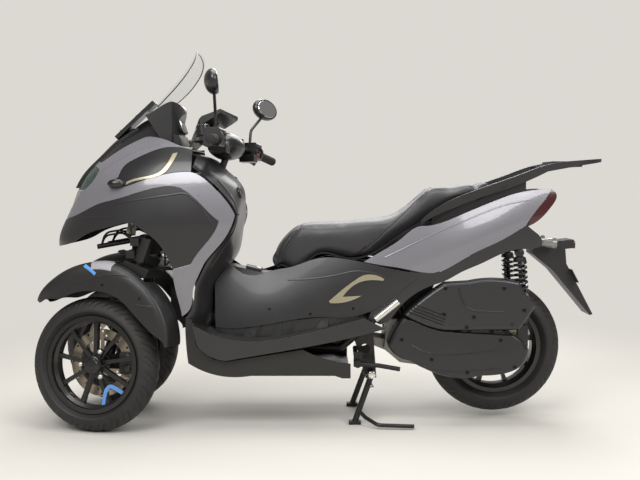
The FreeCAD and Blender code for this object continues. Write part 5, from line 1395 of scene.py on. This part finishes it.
@dataclass
class Rear:
    """The tail, the springs, the power unit's screws and covers, and the stands."""

    cover_screws: Sequence[Flat] = ((465, 454), (582, 443), (555, 402), (419, 274), (747, 243),
                                    (470, 556), (700, 556), (780, 470), (300, 352), (560, 222),
                                    (690, 350))
    shock_side: float = 118.0
    wire: float = 5.8
    reach: float = 23.0

    def build(self) -> None:
        """Make every piece of the rear."""
        self._springs()
        self._inner_panel()
        self._engine()
        self._tail()
        self._stands()
        self._exhaust()

    def _springs(self) -> None:
        """Coil springs over black dampers, with seats and eyes, for the plain CAD units."""
        coils, rods, seats = Form(), Form(), Form()
        top, foot = Vector((778, -self.shock_side, 690)), Vector((800, -self.shock_side, 400))
        down = (foot - top).normalized()
        length = (foot - top).length
        coils.tube(spring(top + down * 40, top + down * (length - 44), self.reach, 10.5),
                   self.wire, 8)
        rods.lathe(aimed(top, down), ((20, 8), (length - 30, 8)), 20)
        place = aimed(top, down)
        seats.lathe(place, ((14, 12), (20, 24), (34, 27), (37, 26), (37, 10)))
        seats.lathe(place, ((length - 42, 12), (length - 42, 27), (length - 36, 27),
                            (length - 26, 22), (length - 12, 16), (length, 12)))
        seats.lathe(place, ((length - 130, 15), (length - 40, 15)))
        seats.lathe(aimed(top + Vector((0, -11, 0)), (0, 1, 0)), ((-3, 10), (0, 18), (22, 18),
                                                                  (25, 10)))
        seats.tube([top, top + down * 18], 12, 12)
        coils.mirrored().piece("shock_coils", SPRING_STEEL, "root", "frame_paint", "rear_shocks")
        rods.mirrored().piece("shock_rods", BLACK_WHEEL, "root", "frame_paint")
        seats.mirrored().piece("shock_seats", FRAME_STEEL, "root", "frame_paint")

    def _inner_panel(self) -> None:
        """The dark panel and two hoses between the storage bin and the power unit."""
        panel, hoses = Form(), Form()
        levels = (((275, 365), (400, 380)), ((262, 430), (405, 430)), ((285, 500), (430, 520)),
                  ((335, 565), (455, 585)), ((400, 612), (480, 632)))
        panel.run([[Vector((front[0], -66, front[1])), Vector((front[0], -70, front[1])),
                    Vector((rear[0], -70, rear[1])), Vector((rear[0], -66, rear[1]))]
                   for front, rear in levels])
        for shift in (0, 22):
            hoses.tube(smooth_line(((300 + shift, -76, 540), (290 + shift, -84, 480),
                                    (322 + shift, -86, 420), (372 + shift, -78, 388)), 12), 6, 12)
        panel.piece("rear_inner_panel", INNER_BLACK_AND_GAP_SHADE, "root", "dark_plastic")
        hoses.piece("rear_hoses", GRIP_RUBBER, "root", "grip_rubber")

    def _engine(self) -> None:
        """Screws, bosses and folds on the drive cover and the air cleaner."""
        screws, bosses = Form(), Form()
        skin = skin_of("cvt_cover", "air_cleaner")
        for place in skin.spots(View.LEFT, *self.cover_screws):
            bosses.lathe(place, ((-2, 10.5), (1.5, 10), (2, 8.5)), 20)
            bolt(screws, place @ Matrix.Translation((0, 1.8, 0)), 5, 5)
        # A hole in the cover is drawn as a flat black disc: painted shade.
        hole_shade = Form()
        for place in skin.spots(View.LEFT, (734, 415)):
            hole_shade.lathe(place, ((-1, 9), (0.6, 9), (0.8, 7)), 20)
        folds = Form()
        skin.strip(folds, View.LEFT, ((335, 330), (400, 300), (500, 292), (600, 300),
                                      (700, 312)), 8, 2.4)
        skin.strip(folds, View.LEFT, ((520, 560), (540, 500), (580, 470), (700, 462)), 7, 2.2)
        skin.strip(folds, View.LEFT, ((330, 262), (440, 232), (560, 226), (690, 238)), 7, 2.0)
        screws.piece("cover_bolts", BLACK_SCREW, "root", "dark_casting")
        bosses.piece("cover_bosses", BLACK_PLASTIC, "root", "dark_plastic")
        hole_shade.piece("cover_hole_painted_shade", INNER_BLACK_AND_GAP_SHADE, "root", "dark_plastic")
        folds.piece("cover_folds", BLACK_PLASTIC, "root", "dark_plastic")

    def _tail(self) -> None:
        """The line under the rail, tail folds, lamp ribs and signal rims."""
        rail = skin_of("grab_rail", "tail_ledges")
        line = rail.strip(Form(), View.LEFT, ((418, 808), (470, 842), (540, 876), (617, 908),
                                              (670, 932), (722, 962)), 6.5, 0.8)
        line.mirrored().piece("rail_line", BLACK_WHEEL, "root", "carrier_paint")
        folds = Form()
        tail = skin_of("tail_cowls")
        tail.strip(folds, View.LEFT, ((230, 676), (330, 724), (440, 776), (560, 826),
                                      (700, 878), (820, 905)), 6, 1.6)
        folds.mirrored().piece("tail_folds", GREY_LACQUER, "root", "grey_gloss")
        lamp = skin_of("tail_lamp")
        ribs = Form()
        for y in (-60, -40, -20, 0, 20, 40, 60):
            lamp.strip(ribs, View.REAR, ((y, 800), (y, 830), (y, 860), (y, 885)), 5, 1.4)
        ribs.piece("tail_lamp_ribs", RED_LENS, "root", "red_lens")
        rims = Form()
        for side in (-1, 1):
            place = aimed((914, side * 98, 726), (1, 0, -0.04))
            rims.lathe(place, ((10, 19.5), (10, 21.8), (15, 21.8), (17, 19.5), (18, 12), (18, 4)))
        rims.piece("rear_signal_lenses", SIGNAL_LENS, "root", "signal_lens")
        ears = Form()
        for side in (-1, 1):
            ears.button(aimed((1018, side * 40, 716), (1, 0, 0)), 10, 16, 5, 3)
        ears.piece("bracket_reflectors", RED_LENS, "root", "red_lens")

    def _stands(self) -> None:
        """A spring of the centre stand and the bright ring of its pivot."""
        form = Form()
        form.tube(spring(Vector((150, -158, 226)), Vector((188, -158, 150)), 6, 10), 1.6, 6)
        form.piece("stand_springs", SPRING_STEEL, "root", "frame_paint")
        ring = Form().lathe(aimed((186, -150, 199), (0, -1, 0)), ((0, 15), (4, 15), (6, 11),
                                                                  (6, 6), (3, 5)))
        ring.piece("stand_pivot_ring", PEG_METAL, "centre_stand", "peg_metal")

    def _exhaust(self) -> None:
        """Bolts of the muffler's heat shield."""
        form = Form()
        for place in skin_of("muffler").spots(View.RIGHT, (470, 380), (620, 400), (780, 400),
                                              (520, 260), (760, 290)):
            bolt(form, place, 4.5, 4)
        form.piece("shield_bolts", BOLT_STEEL, "root", "peg_metal")


@dataclass
class Studio:
    """The camera at the photograph's place, a pale floor and soft lights."""

    eye: Point = (-0.022, -3.735, 0.970)
    focal_px: float = 903.0
    frame_px: float = 640.0
    horizon_px: float = 182.7
    centre_px: float = 240.0
    sensor_mm: float = 36.0
    backdrop: str = "dcd9d3"
    near_m: float = 1.5
    far_m: float = 3.4

    def build(self) -> None:
        """Make the camera, floor, lamps and world."""
        self._camera()
        self._floor()
        self._lamp("key", (-1.6, -3.2, 3.6), 150.0, 2.6)
        self._lamp("fill", (2.4, -2.6, 2.9), 90.0, 2.2)
        self._lamp("top", (0.0, 0.3, 4.2), 110.0, 3.0)
        self._lamp("back", (0.4, 3.2, 3.0), 80.0, 2.4)
        self._world()
        bpy.context.scene.view_settings.view_transform = "Standard"

    def _camera(self) -> None:
        """Set the camera to the photograph's viewing angle."""
        data = bpy.data.cameras.new("camera")
        data.sensor_width = self.sensor_mm
        data.lens = self.focal_px / self.frame_px * self.sensor_mm
        made = bpy.data.objects.new("camera", data)
        down = math.atan((self.centre_px - self.horizon_px) / self.focal_px)
        made.location = self.eye
        made.rotation_euler = (math.pi / 2 - down, 0.0, 0.0)
        bpy.context.scene.collection.objects.link(made)
        bpy.context.scene.camera = made

    def _floor(self) -> None:
        """Lay a plain pale floor that takes shadows near the vehicle and fades to the backdrop."""
        half = 30.0
        mesh = bpy.data.meshes.new("floor")
        mesh.from_pydata([(-half, -half, 0), (half, -half, 0), (half, half, 0), (-half, half, 0)],
                         [], [(0, 1, 2, 3)])
        floor = bpy.data.objects.new("floor", mesh)
        bpy.context.scene.collection.objects.link(floor)
        paint = bpy.data.materials.new("floor_paint_pale")
        paint.use_nodes = True
        tree = paint.node_tree
        shader = next(n for n in tree.nodes if n.type == "BSDF_PRINCIPLED")
        output = next(n for n in tree.nodes if n.type == "OUTPUT_MATERIAL")
        shader.inputs["Base Color"].default_value = linear("d0cdc6")
        shader.inputs["Roughness"].default_value = 0.7
        place = add_node(tree, "ShaderNodeTexCoord").outputs["Object"]
        away = add_node(tree, "ShaderNodeVectorMath", {"operation": "LENGTH"}, {0: place})
        fade = add_node(tree, "ShaderNodeMapRange", {"interpolation_type": "SMOOTHSTEP"},
                        {"Value": away.outputs["Value"], "From Min": self.near_m,
                         "From Max": self.far_m})
        pale = add_node(tree, "ShaderNodeEmission", None,
                        {"Color": linear(self.backdrop), "Strength": 1.0})
        mix = add_node(tree, "ShaderNodeMixShader", None,
                       {0: fade.outputs[0], 1: shader.outputs[0], 2: pale.outputs[0]})
        tree.links.new(mix.outputs[0], output.inputs["Surface"])
        mesh.materials.append(paint)

    def _lamp(self, name: str, place: Point, power: float, size: float) -> None:
        """Hang one soft square lamp that faces the vehicle.

        Args:
            name: The lamp's name.
            place: Where it hangs.
            power: Its strength in watts.
            size: The length of its side.
        """
        data = bpy.data.lights.new(name, "AREA")
        data.energy = power
        data.size = size
        lamp = bpy.data.objects.new(name, data)
        lamp.location = place
        aim = Vector((0.0, 0.0, 0.55)) - Vector(place)
        lamp.rotation_euler = aim.to_track_quat("-Z", "Y").to_euler()
        bpy.context.scene.collection.objects.link(lamp)

    def _world(self) -> None:
        """Light the scene evenly and show a pale backdrop to camera, gloss and glass."""
        world = bpy.data.worlds.new("studio")
        bpy.context.scene.world = world
        world.use_nodes = True
        tree = world.node_tree
        tree.nodes.clear()
        path = add_node(tree, "ShaderNodeLightPath")
        seen = add_node(tree, "ShaderNodeMath", {"operation": "MAXIMUM"},
                        {0: path.outputs["Is Camera Ray"],
                         1: path.outputs["Is Transmission Ray"]})
        soft = add_node(tree, "ShaderNodeBackground", None,
                        {"Color": linear("e4e1dc"), "Strength": 0.38})
        pale = add_node(tree, "ShaderNodeBackground", None,
                        {"Color": linear(self.backdrop), "Strength": 1.0})
        mix = add_node(tree, "ShaderNodeMixShader", None,
                       {0: seen.outputs[0], 1: soft.outputs[0], 2: pale.outputs[0]})
        add_node(tree, "ShaderNodeOutputWorld", None, {"Surface": mix.outputs[0]})


def main() -> None:
    """Build the studio and every sub-assembly in order."""
    logging.basicConfig(level=logging.INFO, format="%(name)s: %(message)s")
    Studio().build()
    dress_nodes()
    Wheel("front_tyre_l", "front_wheel_l", "front_wheel_l_spin", -1, taped=True).build()
    Wheel("front_tyre_r", "front_wheel_r", "front_wheel_r_spin", 1).build()
    Wheel("rear_tyre", "rear_wheel", "rear_wheel_spin", -1, 275.8, 70.0, 74.0,
          steered=False).build()
    FrontLeg("l", -1).build()
    FrontLeg("r", 1).build()
    for part in (Nose(), Cockpit(), Middle(), Rear(), Seat()):
        part.build()


if __name__ == "__main__":
    main()
